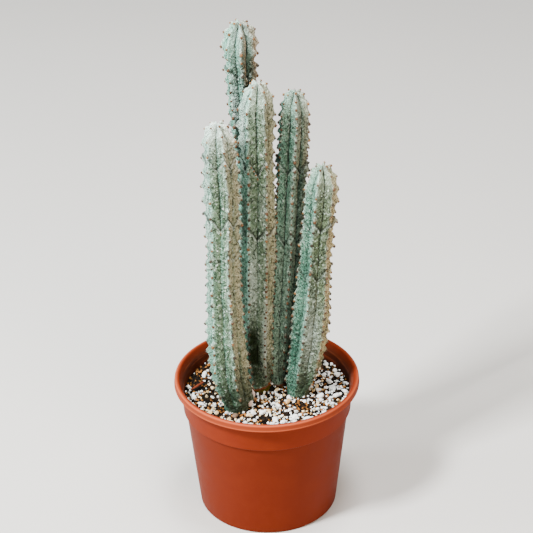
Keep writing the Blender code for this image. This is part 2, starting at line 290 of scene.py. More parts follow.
@dataclass(frozen=True)
class SkinFinish:
    """The frosted, wrinkled skin of one stem."""

    flesh: Colour
    deep: Colour
    shade: Colour
    # Moss, also used for painted shadow; a pale one paints light.
    moss: Colour
    # Frost and bloom, also used for painted light.
    frost: Colour = tone(228, 243, 235)
    # Painted highlight for the lit edges of crests.
    crest_highlight_tint: Colour = tone(200, 240, 222)
    # Painted cool light for sides that face left.
    cool_light_tint: Colour = tone(122, 190, 166)
    # Painted warm light for sides that face right.
    warm_light_tint: Colour = tone(186, 178, 141)
    tip: Colour = tone(186, 134, 98)
    crease: Colour = tone(22, 20, 12)
    callus: Colour = tone(138, 62, 18)
    stub: Colour = tone(98, 92, 28)
    roughness: float = 0.72
    gloss: float = 0.12
    wrinkle_depth: float = 0.0040

    def material(self, name: str, effects: Effects) -> Material:
        """Build the skin's material.

        Args:
            name: The material's name.
            effects: The shared patterns.

        Returns:
            The material.
        """
        material, graph, shader = new_material(name)
        times, span, mark = graph.times, graph.span, graph.mark
        wrinkle = graph.effect(effects.wrinkle, graph.place((1.0, 1.0, 0.72))).outputs
        cloud = graph.noise(graph.place(), 110.0, 3.0, 0.65)
        streak = graph.noise(graph.place((1.0, 1.0, 0.22)), 150.0, 2.0, 0.5)
        frost, warm, calm = mark("frost"), mark("warm"), mark("calm")
        plain = times(span(frost, 0.1, 0.7, 1.0, 0.4), span(warm, 0.1, 0.9, 1.0, 0.4))
        # Light specks and wrinkle tops: frost, partly painted glints.
        light = graph.most(times(wrinkle["Specks"], 0.82), times(mark("puff"), 0.12))
        # Painted shade in pits and in wrinkle creases.
        dark = graph.most(wrinkle["Pits"], times(mark("fold"), 0.8))
        bare = times(span(frost, 0.1, 0.9, 0.86, 0.48), calm)
        colour = graph.coat(
            graph.mix(span(cloud, 0.35, 0.65), self.deep, self.flesh),
            # Painted cool light on sides that face left.
            (times(mark("cool"), 0.66), self.cool_light_tint),
            # Painted warm light on sides that face right, in streaks.
            (times(warm, span(streak, 0.28, 0.55, 0.55, 1.0)), self.warm_light_tint),
            (times(light, times(plain, calm)), self.frost),
            # Frost and bloom, with painted light on crests that face left and on pale patches.
            (times(frost, span(cloud, 0.25, 0.5, 0.6, 1.0)), self.frost),
            # Painted highlight along the lit edges of crests.
            (mark("rim"), self.crest_highlight_tint),
            # Moss and patches of painted shadow; on the inner stem, painted light.
            (times(mark("moss"), span(cloud, 0.32, 0.56, 0.7, 1.0)), self.moss),
            (mark("tip"), self.tip),
            # Painted shade in pits and creases.
            (times(dark, bare), self.shade),
            # Painted shade along the grooves.
            (mark("groove"), self.shade),
            (mark("crease"), self.crease),
            (mark("stub"), self.stub),
            (mark("callus"), self.callus),
        )
        graph.feed(shader, {
            "Base Color": colour,
            "Roughness": self.roughness,
            "Specular IOR Level": self.gloss,
            "Normal": graph.bump(times(wrinkle["Height"], calm), self.wrinkle_depth),
        })
        return material


@dataclass(frozen=True)
class ThornFinish:
    """The dry brown thorn bud at the tip of a tooth."""

    dark: Colour = tone(40, 27, 12)
    tan: Colour = tone(80, 50, 22)
    pale: Colour = tone(120, 82, 42)
    roughness: float = 0.8
    fleck_depth: float = 0.0002

    def material(self) -> Material:
        """Build the thorns' material, with a tint for each thorn.

        Returns:
            The material.
        """
        material, graph, shader = new_material("thorn_buds")
        tint = graph.mark("tint")
        fleck = graph.noise(graph.place(), 1600.0, 2.0)
        colour = graph.coat(
            self.dark,
            (graph.span(tint, 0.2, 0.6), self.tan),
            (graph.span(tint, 0.75, 1.0), self.pale),
            (graph.span(fleck, 0.5, 0.75, 0.0, 0.6), self.dark),
        )
        bump = graph.bump(fleck, self.fleck_depth)
        graph.feed(shader, {"Base Color": colour, "Roughness": self.roughness, "Normal": bump})
        return material


@dataclass(frozen=True)
class PlasticFinish:
    """The pot's satin moulded plastic."""

    clay: Colour = tone(104, 35, 17)
    faded: Colour = tone(108, 38, 19)
    # Paler clay: worn edges, painted highlight on the lip and painted reflection streaks inside.
    wear_and_highlight: Colour = tone(180, 88, 56)
    # Painted shade for the outside.
    soiled: Colour = tone(58, 18, 6)
    # Painted shade for the inner wall.
    inside_shade: Colour = tone(66, 36, 24)
    sheen: Colour = (1.0, 0.42, 0.24)
    gloss: float = 0.035
    smoothest: float = 0.48
    roughest: float = 0.56
    dust_depth: float = 0.00006

    def material(self) -> Material:
        """Build the plastic's material.

        Returns:
            The material.
        """
        material, graph, shader = new_material("pot_plastic")
        place = graph.place()
        inside = graph.mark("inside")
        cloud = graph.noise(place, 60.0, 4.0, 0.6)
        flow = graph.noise(graph.place((1.0, 1.0, 14.0)), 26.0, 2.0)
        dust = graph.noise(place, 700.0, 2.0)
        colour = graph.coat(
            self.clay,
            (graph.span(cloud, 0.35, 0.7), self.faded),
            # Painted highlight on the lip, partly worn edges.
            (graph.mark("rim"), self.wear_and_highlight),
            # Painted shade on the inner wall.
            (graph.times(inside, 0.72), self.inside_shade),
            # Painted reflection streaks on the inner wall.
            (graph.times(inside, graph.span(flow, 0.5, 0.7, 0.0, 0.3)), self.wear_and_highlight),
            (graph.span(dust, 0.62, 0.8, 0.0, 0.2), self.faded),
            # Painted shade under the band's step, along the base and on the band under the lip.
            (graph.mark("soiled"), self.soiled),
        )
        graph.feed(shader, {
            "Base Color": colour,
            "Specular IOR Level": self.gloss,
            "Specular Tint": self.sheen,
            "Roughness": graph.span(cloud, 0.3, 0.7, self.smoothest, self.roughest),
            "Normal": graph.bump(dust, self.dust_depth),
        })
        return material


@dataclass(frozen=True)
class MineralFinish:
    """The dull surface of soil or of one sort of grain."""

    name: str
    dark: Colour
    light: Colour
    depth: float = 0.0004
    roughness: float = 0.9
    gloss: float = 0.15
    tinting: float = 0.65

    def material(self, effects: Effects) -> Material:
        """Build the mineral's material, with a tint for each grain.

        Args:
            effects: The shared patterns.

        Returns:
            The material.
        """
        material, graph, shader = new_material(self.name)
        grain = graph.effect(effects.mineral, graph.place()).outputs
        cloud = graph.times(grain["Cloud"], 1.0 - self.tinting)
        share = graph.math("ADD", graph.times(graph.mark("tint"), self.tinting), cloud)
        graph.feed(shader, {
            "Base Color": graph.mix(share, self.dark, self.light),
            "Roughness": self.roughness,
            "Specular IOR Level": self.gloss,
            "Normal": graph.bump(grain["Height"], self.depth),
        })
        return material


def settle(name: str, bm: BMesh) -> Mesh:
    """Turn a bmesh into a mesh and free it.

    Args:
        name: The mesh's name.
        bm: The bmesh.

    Returns:
        The mesh.
    """
    mesh = bpy.data.meshes.new(name)
    bm.to_mesh(mesh)
    bm.free()
    return mesh


def show(data: ID) -> Object:
    """Put a mesh, a light or a camera in the scene under its own name.

    Args:
        data: The mesh, the light or the camera.

    Returns:
        Its object.
    """
    thing = bpy.data.objects.new(data.name, data)
    bpy.context.scene.collection.objects.link(thing)
    return thing


def add_piece(mesh: Mesh, material: Material, slot: str, solid: str = "") -> Object:
    """Show a mesh as a smooth piece that rides on the part's body.

    Args:
        mesh: The mesh, which has the piece's name.
        material: Its material.
        slot: Not used.
        solid: The solid that it replaces, if any.

    Returns:
        The piece.
    """
    mesh.materials.append(material)
    mesh.shade_smooth()
    piece = show(mesh)
    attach(piece, "root")
    if solid:
        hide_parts(solid)
    return piece


def store_mark(mesh: Mesh, name: str, values: np.ndarray) -> None:
    """Store a value for each point of a mesh."""
    layer = mesh.attributes.new(name, "FLOAT", "POINT")
    layer.data.foreach_set("value", values.astype(np.float32))


def repeat(name: str, bm: BMesh, count: int) -> Mesh:
    """Copy a small shape many times into one mesh, one copy after the other.

    Args:
        name: The mesh's name.
        bm: The shape, which is freed.
        count: How many copies there are.

    Returns:
        The mesh.
    """
    block = settle(name + "_block", bm)
    whole = bmesh.new()
    left = count
    while left:
        if left % 2:
            whole.from_mesh(block)
        left //= 2
        double = bmesh.new()
        double.from_mesh(block)
        double.from_mesh(block)
        double.to_mesh(block)
        double.free()
    bpy.data.meshes.remove(block)
    return settle(name, whole)


def read_points(mesh: Mesh) -> np.ndarray:
    """Read a mesh's points.

    Args:
        mesh: The mesh.

    Returns:
        One row for each point.
    """
    flat = np.empty(len(mesh.vertices) * 3, dtype=np.float32)
    mesh.vertices.foreach_get("co", flat)
    return flat.reshape(-1, 3).astype(float)


def move_points(mesh: Mesh, spots: np.ndarray) -> None:
    """Move a mesh's points, one row for each."""
    mesh.vertices.foreach_set("co", spots.astype(np.float32).ravel())
    mesh.update()


class Foot(Enum):
    """How a stem meets the soil."""

    RIBBED = "ribs run down into the soil"
    CALLUSED = "a brown callus ring over a short green stub"


@dataclass(frozen=True)
class Joint:
    """A growth joint: its height, its step in, its rise from groove to crest, how plain it is."""

    height: float
    step: float
    swing: float
    mark: float
    wander: float = 0.0005
    recess_fade: float = 0.009
    swell_fade: float = 0.0030
    pit_fade: float = 0.006
    seam_width: float = 0.0009
    lip_drop: float = 0.0014
    lip_width: float = 0.0008


@dataclass(frozen=True)
class Patch:
    """A patch of moss and painted shadow on a stem: where it lies, how big it is and how strong;
    below 0 it lightens as painted light.
    """

    height: float
    bearing: float
    tall: float
    wide: float
    strength: float


@dataclass(frozen=True)
class SkinPoints:
    """Points of a stem's skin, which way is out at each, and the marks there."""

    spots: np.ndarray
    out: np.ndarray
    marks: dict[str, np.ndarray]


@dataclass(frozen=True)
class Stem:
    """One ribbed stem with its teeth, growth joints and crown."""

    name: str
    ribs: int
    turn: float
    top: float
    crown: float
    foot: float
    course: Knots
    girth: Knots
    joints: tuple[Joint, ...]
    seams: Knots
    pitches: Knots
    finish: SkinFinish
    base: Foot
    seed: int
    patches: tuple[Patch, ...] = ()
    loose_buds: Knots = ()
    foot_bottom: float = 0.0860
    foot_round: float = 0.0030
    foot_tip_share: float = 0.7
    skin_bottom: float = 0.1000
    foot_top: float = 0.1070
    rib_start: float = 0.1120
    rib_full: float = 0.1150
    groove_depth: float = 0.20
    flank_swell: float = 0.030
    notch_depth: float = 0.095
    notch_width: float = 0.10
    crest_round: float = 0.006
    tooth_height: float = 0.0024
    tooth_length: float = 0.0044
    tooth_width: float = 0.0034
    tooth_sizes: tuple[float, float] = (0.75, 1.2)
    first_tooth: float = 0.0050
    tooth_stagger: float = 0.0026
    tooth_jitter: float = 0.0008
    pitch_spread: tuple[float, float] = (0.78, 1.25)
    young_length: float = 0.060
    pitch_growth: float = 0.22
    bud_radius: float = 0.00132
    bud_sizes: tuple[float, float] = (0.7, 1.25)
    bud_shape: Spot = (0.85, 1.0, 0.75)
    bud_droop: float = 0.0011
    bud_stand: float = 0.63
    bud_clearing: tuple[float, ...] = (-0.0020, -0.0012, -0.0006, 0.0006)
    crown_pitch: float = 0.0072
    crown_drop: float = 0.0036
    ring_height: float = 0.1075
    ring_tilt: float = 0.0026
    ring_swell: float = 0.0007
    ring_width: float = 0.0010
    row_pitch: float = 0.0007
    columns_per_rib: int = 18
    crown_rows: int = 30
    flank_turn: float = 0.33
    bloom: float = 0.46
    # Strength of the painted highlight on lit crest edges.
    edge: float = 0.45
    wrinkle: float = 1.1
    wrinkle_depth: float = 0.0019
    wrinkle_wave: float = 0.0036
    bold_wave: float = 0.013
    swell_depth: float = 0.00055
    swell_wave: float = 0.022
    dent_depth: float = 0.00050
    dent_wave: float = 0.0060
    fold_depth: float = 0.00020
    fold_pitch: float = 0.0043
    relief_start: float = 0.1030
    relief_full: float = 0.1090
    smooth_top: float = 0.022
    crown_fade: float = 0.014
    base_band_start: float = 0.108
    base_band_end: float = 0.150

    def stations(self) -> np.ndarray:
        """List the stem's rings from its foot to its crown.

        Returns:
            One row for each ring: height, share of the girth, lift on the dome and reach along
            the skin. The first and last rows are the closed ends.
        """
        shoulder = self.top - self.crown
        low = self.foot_bottom
        rows = [(low, 0.0, 0.0, low), (low, self.foot_tip_share, 0.0, low)]
        rows.append((low + self.foot_round, 1.0, 0.0, low))
        count = math.ceil((shoulder - self.skin_bottom) / self.row_pitch)
        for step in range(count):
            height = self.skin_bottom + (shoulder - self.skin_bottom) * step / count
            rows.append((height, 1.0, 0.0, height))
        arc = math.hypot(self.crown, self.girth[-1][1]) / math.sqrt(2.0)
        for step in range(self.crown_rows + 1):
            lift = math.pi / 2.0 * step / self.crown_rows
            height = shoulder + self.crown * math.sin(lift)
            rows.append((height, math.cos(lift), lift, shoulder + arc * lift))
        rows[-1] = (self.top, 0.0, math.pi / 2.0, rows[-1][3])
        return np.array(rows)

    @staticmethod
    def rings_at(stations: np.ndarray, reach: np.ndarray) -> np.ndarray:
        """Work out the rings at places between the stations.

        Args:
            stations: The stem's rings.
            reach: Where the places lie along the skin.

        Returns:
            One row for each place, like those of the stations.
        """
        ordered = stations[2:]
        columns = [np.interp(reach, ordered[:, 3], ordered[:, index]) for index in range(3)]
        return np.column_stack([*columns, reach])

    def section(self, across: np.ndarray, seam: np.ndarray) -> np.ndarray:
        """Give the outline of a rib: a roof with full flanks and a narrow groove at its foot.

        Args:
            across: 0 at the crest and 1 in the groove.
            seam: How deeply the groove is cut.

        Returns:
            The share of the crest's radius.
        """
        half = math.pi / self.ribs
        low = 1.0 - self.groove_depth
        angle = across * half
        rise = low * math.sin(half) * np.cos(angle) + (1.0 - low * math.cos(half)) * np.sin(angle)
        chord = low * math.sin(half) / rise
        swell = self.flank_swell * np.sin(np.pi * across)
        notch = self.notch_depth * (0.35 + 0.65 * seam) * bell(1.0 - across, self.notch_width)
        return chord + swell - notch - self.crest_round * bell(across, 0.10)

    def teeth(self, end: float) -> list[Tooth]:
        """Place the teeth down each rib, closer and smaller towards the crown.

        Args:
            end: The reach of the crown's tip.

        Returns:
            The rib, the reach and the size of each tooth.
        """
        rng = random.Random(self.seed)
        placed = []
        for rib in range(self.ribs):
            reach = end - self.first_tooth - self.tooth_stagger * (rib % 2)
            reach -= rng.uniform(0.0, self.tooth_jitter)
            while reach > self.rib_start + 0.0010:
                grown = min(1.0, 0.85 + (end - reach) / self.young_length)
                placed.append((rib, reach, grown * rng.uniform(*self.tooth_sizes)))
                pitch = float(curve_through(self.pitches, np.array([reach]))[0, 0])
                young = self.crown_pitch + self.pitch_growth * (end - reach)
                reach -= min(pitch, young) * rng.uniform(*self.pitch_spread)
        return placed

    def joint_relief(
        self, reach: np.ndarray, across: np.ndarray, rib: np.ndarray, bearing: np.ndarray
    ) -> tuple[np.ndarray, np.ndarray, np.ndarray]:
        """Shape the growth joints: a step that rises to each crest and falls to each groove.

        Args:
            reach: Distance along the skin.
            across: 0 at the crest and 1 in the groove.
            rib: The rib that each point is on.
            bearing: Direction of each point round the stem.

        Returns:
            How far the skin moves out, how dark the seam is and how light its lip is.
        """
        rng = random.Random(self.seed + 50)
        relief, seam, lip = np.zeros((3, len(reach)))
        for joint in self.joints:
            bold, swing = (
                np.array([rng.uniform(low, high) for _ in range(self.ribs)])[rib]
                for low, high in ((0.7, 1.0), (0.9, 1.1))
            )
            wander = joint.wander * np.sin(5.0 * bearing + joint.height * 900.0)
            line = joint.height + joint.swing * swing * (1.0 - 2.0 * across) + wander
            past = reach - line
            above = np.maximum(past, 0.0)
            over = ease(past, -0.0003, 0.0005)
            recess = 1.1 * joint.step * np.exp(-above / joint.recess_fade)
            swell = 0.5 * joint.step * np.exp(np.minimum(past, 0.0) / joint.swell_fade)
            relief += bold * (swell * (1.0 - over) - recess * over)
            strength = bold * joint.mark
            # The pit is painted shade in the groove just above a joint.
            pit = bell(1.0 - across, 0.30) * over * np.exp(-above / joint.pit_fade)
            dark = np.maximum(bell(past - 0.0003, joint.seam_width), 0.2 * pit)
            seam = np.maximum(seam, strength * dark)
            lip = np.maximum(lip, strength * bell(past + joint.lip_drop, joint.lip_width))
        return relief, seam, lip

    def foot_ring(
        self, height: np.ndarray, bearing: np.ndarray
    ) -> tuple[np.ndarray, np.ndarray, np.ndarray]:
        """Shape the dry ring at the foot of a callused stem.

        Args:
            height: Height of each point.
            bearing: Direction of each point round the stem.

        Returns:
            Where the ring is, where the green stub under it is, and how far the skin moves out.
        """
        if self.base is Foot.RIBBED:
            return tuple(np.zeros((3, len(height))))
        above = self.ring_height + self.ring_tilt * np.cos(bearing) - height
        swell = self.ring_swell * bell(above, 0.9 * self.ring_width)
        return bell(above, self.ring_width), ease(above, 0.0006, 0.0014), swell

    def lay_patches(self, height: np.ndarray, bearing: np.ndarray) -> tuple[np.ndarray, np.ndarray]:
        """Lay the stem's patches of moss, painted shadow and painted light on its skin.

        Args:
            height: Height of each point.
            bearing: Direction of each point round the stem.

        Returns:
            How dark and how light the patches make each point.
        """
        dark, light = np.zeros((2, len(height)))
        for patch in self.patches:
            away = (np.degrees(bearing) + 90.0 - patch.bearing + 180.0) % 360.0 - 180.0
            patch_weight = bell(away, patch.wide) * bell(height - patch.height, patch.tall)
            # Positive patches give moss and painted shadow, negative ones painted light.
            dark = np.maximum(dark, patch.strength * patch_weight)
            light = np.maximum(light, -patch.strength * patch_weight)
        return dark, light

    def skin(self, rings: np.ndarray, spoke: np.ndarray) -> SkinPoints:
        """Place points of the skin.

        Args:
            rings: The ring of each point: height, share of the girth, lift and reach.
            spoke: Place round the stem, whole on the crests and halves in the grooves.

        Returns:
            The points.
        """
        height, girth, lift, reach = rings.T
        near = np.round(spoke)
        across = 2.0 * np.abs(spoke - near)
        rib = near.astype(int) % self.ribs
        wave = 0.035 * np.sin(height * 61.0 + self.seed) + 0.02 * np.sin(height * 173.0)
        bearing = math.radians(self.turn - 90.0) + FULL_TURN * spoke / self.ribs + wave
        facing = bearing + math.pi / 2.0
        cut = curve_through(self.seams, height)[:, 0]
        risen = ease(height, self.foot_top - 0.0005, self.rib_start)
        full = curve_through(self.girth, height)[:, 0]
        radius = (self.foot + (full - self.foot) * risen) * girth
        ribbed = ease(height, self.foot_top - 0.001, self.rib_full)
        ribbing = ribbed * (1.0 - 0.35 * ease(lift, 0.8, 1.5))
        radius = radius * (1.0 + ribbing * (self.section(across, cut) - 1.0))
        axis = curve_through(self.course, np.maximum(height, self.foot_top))
        spokes = np.stack([np.cos(bearing), np.sin(bearing)], axis=1)
        spots = np.column_stack([axis + radius[:, None] * spokes, height])
        out = np.column_stack([spokes * np.cos(lift)[:, None], np.sin(lift)])

        # Relief: growth joints, broad swells, dents, wrinkles, level folds and the crown's dimple.
        relief, seam, lip = self.joint_relief(reach, across, rib, bearing)
        relief = relief + self.swell_depth * rough_field(spots, self.swell_wave, self.seed)
        dents = rough_field(spots, self.dent_wave, self.seed + 5.0)
        relief += self.dent_depth * dents
        strong = rough_field(spots, self.bold_wave, self.seed + 3.0)
        crumple = rough_field(spots * (1.0, 1.0, 1.25), self.wrinkle_wave, self.seed + 9.0)
        smooth_end = self.top - 0.45 * self.smooth_top
        calm = 1.0 - 0.45 * ease(height, self.top - self.smooth_top, smooth_end)
        bold = np.clip(0.75 + 0.7 * strong, 0.3, 1.0) * calm
        relief += self.wrinkle_depth * self.wrinkle * bold * (np.abs(crumple) - 0.15)
        fold = np.sin(FULL_TURN * (reach + 0.007 * across + 0.0016 * strong) / self.fold_pitch)
        relief += self.fold_depth * fold * np.clip(0.5 + 1.2 * strong, 0.0, 1.0)
        relief -= self.crown_drop * across**2 * ease(lift, 0.2, 1.2)
        relief *= ease(height, self.relief_start, self.relief_full)
        relief *= np.minimum(1.0, radius / 0.004)
        relief -= 0.0006 * bell(radius, 0.003) * ease(lift, 1.0, 1.4)
        callus, stub, swell = self.foot_ring(height, bearing)
        relief += swell

        # Marks: where the finish shows frost, moss and seams, painted warm light on sides that face
        # right, painted cool light on sides that face left, painted highlights on crests, and
        # painted shade in grooves and creases.
        patchy = np.clip(0.75 + 1.1 * dents + 0.4 * (1.0 - calm), 0.25, 1.1)
        thin = 0.05 + 0.05 * cut + 0.09 * (1.0 - calm)
        crowned = np.exp(-(self.top - height) / self.crown_fade)
        side = np.sign(spoke - near) * np.minimum(1.0, across / 0.10)
        turned = np.sin(facing + side * self.flank_turn)
        # Patches of moss and painted shadow, and pale patches of painted light.
        moss, pale = self.lay_patches(height, bearing)
        # Painted light on crests that face left.
        pale = np.maximum(pale, 0.5 * bell(across, 0.12) * ease(-np.sin(facing), 0.75, 0.95))
        # Near the soil the moss colour takes over: darker on most stems, pale painted light on the
        # inner stem.
        low = 1.0 - ease(height, self.base_band_start, self.base_band_end)
        young = 0.2 + 0.8 * ease(height, 0.60 * self.top, 0.95 * self.top)
        # Frost on young crests, the crown's bloom and joint lips, plus the painted light from pale
        # patches and left-facing crests.
        frost = 0.2 * bell(across, 0.085) * young + self.bloom * crowned + 0.75 * lip + pale
        # Painted highlight beside each crest, on sides that face left, kept off the base.
        rim = bell(across - 0.12, 0.11) * (spoke < near + 0.01) * (1.0 - low)
        marks = {
            # Painted shade along the grooves.
            "groove": np.clip(1.2 * bell(1.0 - across, thin) * ribbed * cut * patchy, 0.0, 1.0),
            "crease": seam,
            "frost": np.clip(frost, 0.0, 1.0),
            "rim": rim * ease(-turned, -0.25, 0.35),
            # Painted warm light on sides that face right, less on the crown and near the soil.
            "warm": 0.9 * ease(turned, 0.38, 0.74) * (1.0 - 0.6 * crowned) * (1.0 - 0.7 * low),
            # Painted cool light on sides that face left.
            "cool": ease(-turned, 0.0, 0.72),
            "moss": np.clip(np.maximum(moss, 0.55 * low), 0.0, 1.0),
            # Painted shade in wrinkle creases.
            "fold": bold * bell(crumple, 0.06),
            "calm": calm,
            # Wrinkle tops, lightened as frost and partly as painted glints.
            "puff": bold * ease(np.abs(crumple), 0.24, 0.46),
            "callus": callus,
            "stub": stub,
        }
        return SkinPoints(spots=spots + relief[:, None] * out, out=out, marks=marks)

    def raise_teeth(
        self, points: SkinPoints, rings: np.ndarray, spoke: np.ndarray, teeth: list[Tooth]
    ) -> np.ndarray:
        """Work out how far each point stands out on a tooth.

        Args:
            points: The skin's points.
            rings: The ring of each point.
            spoke: Place round the stem.
            teeth: The rib, the reach and the size of each tooth.

        Returns:
            The height of the tooth at each point.
        """
        reach = rings[:, 3]
        near = np.round(spoke)
        rib = near.astype(int) % self.ribs
        radius = curve_through(self.girth, points.spots[:, 2])[:, 0] * rings[:, 1]
        aside = np.abs(spoke - near) * FULL_TURN / self.ribs * radius
        height = np.zeros_like(reach)
        for on, where, size in teeth:
            mine = np.flatnonzero((rib == on) & (aside < self.tooth_width * 1.2))
            along = (reach[mine] - where) / (self.tooth_length * size)
            wide = aside[mine] / (self.tooth_width * size)
            cone = np.clip(1.0 - np.sqrt(along**2 + wide**2), 0.0, 1.0)
            rise = self.tooth_height * size * cone * (0.75 + 0.25 * cone)
            height[mine] = np.maximum(height[mine], rise)
        return height

    def build(self, effects: Effects, thorn: Material) -> list[Object]:
        """Build the stem's skin and its thorns.

        Args:
            effects: The shared patterns.
            thorn: The thorns' material.

        Returns:
            The pieces.
        """
        stations = self.stations()
        rows = len(stations) - 1
        columns = self.ribs * self.columns_per_rib
        bm = bmesh.new()
        bmesh.ops.create_uvsphere(bm, u_segments=columns, v_segments=rows, radius=1.0)
        mesh = settle(self.name + "_skin", bm)
        x, y, z = read_points(mesh).T
        polar = np.arctan2(np.hypot(x, y), z)
        rings = stations[rows - np.round(polar / np.pi * rows).astype(int)]
        spoke = np.arctan2(y, x) / FULL_TURN * self.ribs
        points = self.skin(rings, spoke)
        teeth = self.teeth(stations[-1][3])
        standing = self.raise_teeth(points, rings, spoke, teeth)
        move_points(mesh, points.spots + standing[:, None] * points.out)
        raised = standing / self.tooth_height
        marks = points.marks
        marks["frost"] = np.clip(marks["frost"] + 0.25 * raised**2, 0.0, 1.0)
        # The painted crest highlight is stronger on the teeth.
        marks["rim"] *= self.edge * np.minimum(1.2, 0.8 + raised)
        marks["tip"] = 0.25 * ease(raised, 0.50, 0.90)
        for name, values in marks.items():
            store_mark(mesh, name, values)
        slot = self.name + "_skin"
        skin = add_piece(mesh, self.finish.material(mesh.name, effects), slot, self.name)
        return [skin, self.thorns(stations, teeth, thorn)]

    def thorns(self, stations: np.ndarray, teeth: list[Tooth], material: Material) -> Object:
        """Set a dry bud and a short thorn on each tooth.

        Args:
            stations: The stem's rings.
            teeth: The rib, the reach and the size of each tooth.
            material: The thorns' material.

        Returns:
            The piece.
        """
        rng = random.Random(self.seed + 90)
        buds = teeth + list(self.loose_buds)
        spoke, reach, sizes = np.array(buds, dtype=float).T
        points = self.skin(self.rings_at(stations, reach), spoke)
        lifts = np.zeros(len(buds))
        for step in self.bud_clearing:
            beside = self.skin(self.rings_at(stations, reach + step), spoke)
            above = np.sum((beside.spots - points.spots) * points.out, axis=1)
            lifts = np.maximum(lifts, above)
        bm = bmesh.new()
        bmesh.ops.create_icosphere(bm, subdivisions=1, radius=1.0)
        bmesh.ops.create_cone(
            bm, cap_ends=True, segments=5, radius1=0.45, radius2=0.06, depth=1.0,
            matrix=Matrix.Translation((0.0, 0.0, 0.8)),
        )
        mesh = repeat(self.name + "_thorns", bm, len(buds))
        shapes = read_points(mesh).reshape(len(buds), -1, 3)
        for index, size in enumerate(sizes.tolist()):
            out = Vector(points.out[index]).normalized()
            grown = float(ease(stations[-1][3] - reach[index], 0.002, 0.026))
            radius = self.bud_radius * math.sqrt(size) * rng.uniform(*self.bud_sizes)
            radius *= 0.8 + 0.2 * grown
            stand = 0.0
            if index < len(teeth):
                stand = self.tooth_height * size * self.bud_stand + 0.7 * lifts[index]
            tip = Vector(points.spots[index]) + out * stand
            level = Vector((out.x, out.y, 0.0))
            down = level.normalized() * out.z - Vector((0.0, 0.0, level.length))
            tip += down * self.bud_droop * size
            turn = out.to_track_quat("Z", "Y").to_matrix() @ Matrix.Diagonal(self.bud_shape)
            shapes[index] = shapes[index] @ np.array(turn).T * radius + np.array(tip)
        move_points(mesh, shapes.reshape(-1, 3))
        shades = np.array([rng.random() for _ in buds])
        shades += (0.7 - 0.6 * shades) * ease(points.spots[:, 2], self.top - 0.03, self.top - 0.01)
        shades[len(teeth):] = 1.0
        store_mark(mesh, "tint", np.repeat(shades, shapes.shape[1]))
        return add_piece(mesh, material, self.name + "_skin")


def rounded_outline(corners: Sequence[Spot]) -> list[Vector]:
    """Round the corners of an open outline with arcs.

    Args:
        corners: Radius from the axis, height and rounding of each corner.

    Returns:
        The outline's points in the XZ plane.
    """
    spots = [Vector((x, 0.0, z)) for x, z, _ in corners]
    points = [spots[0]]
    for before, here, after, corner in zip(spots, spots[1:], spots[2:], corners[1:]):
        back, ahead, rounding = before - here, after - here, corner[2]
        cut = rounding / math.tan(back.angle(ahead) / 2.0)
        cut = min(cut, back.length * 0.49, ahead.length * 0.49)
        start = here + back.normalized() * cut
        end = here + ahead.normalized() * cut
        steps = 6 if rounding > 0.0002 else 2
        for step in range(steps + 1):
            share = step / steps
            points.append(start.lerp(here, share).lerp(here.lerp(end, share), share))
    points.append(spots[-1])
    return points


def turn_outline(points: Sequence[Vector], steps: int) -> BMesh:
    """Turn an outline that starts and ends on the axis into a closed body.

    Args:
        points: The outline, in the XZ plane.
        steps: How many sides the body has.

    Returns:
        The body.
    """
    bm = bmesh.new()
    verts = [bm.verts.new(point) for point in points]
    edges = [bm.edges.new(pair) for pair in zip(verts, verts[1:])]
    bmesh.ops.spin(
        bm, geom=verts + edges, cent=(0.0, 0.0, 0.0), axis=(0.0, 0.0, 1.0),
        angle=FULL_TURN, steps=steps, use_merge=True,
    )
    bmesh.ops.remove_doubles(bm, verts=bm.verts, dist=0.000005)
    bmesh.ops.recalc_face_normals(bm, faces=bm.faces)
    return bm


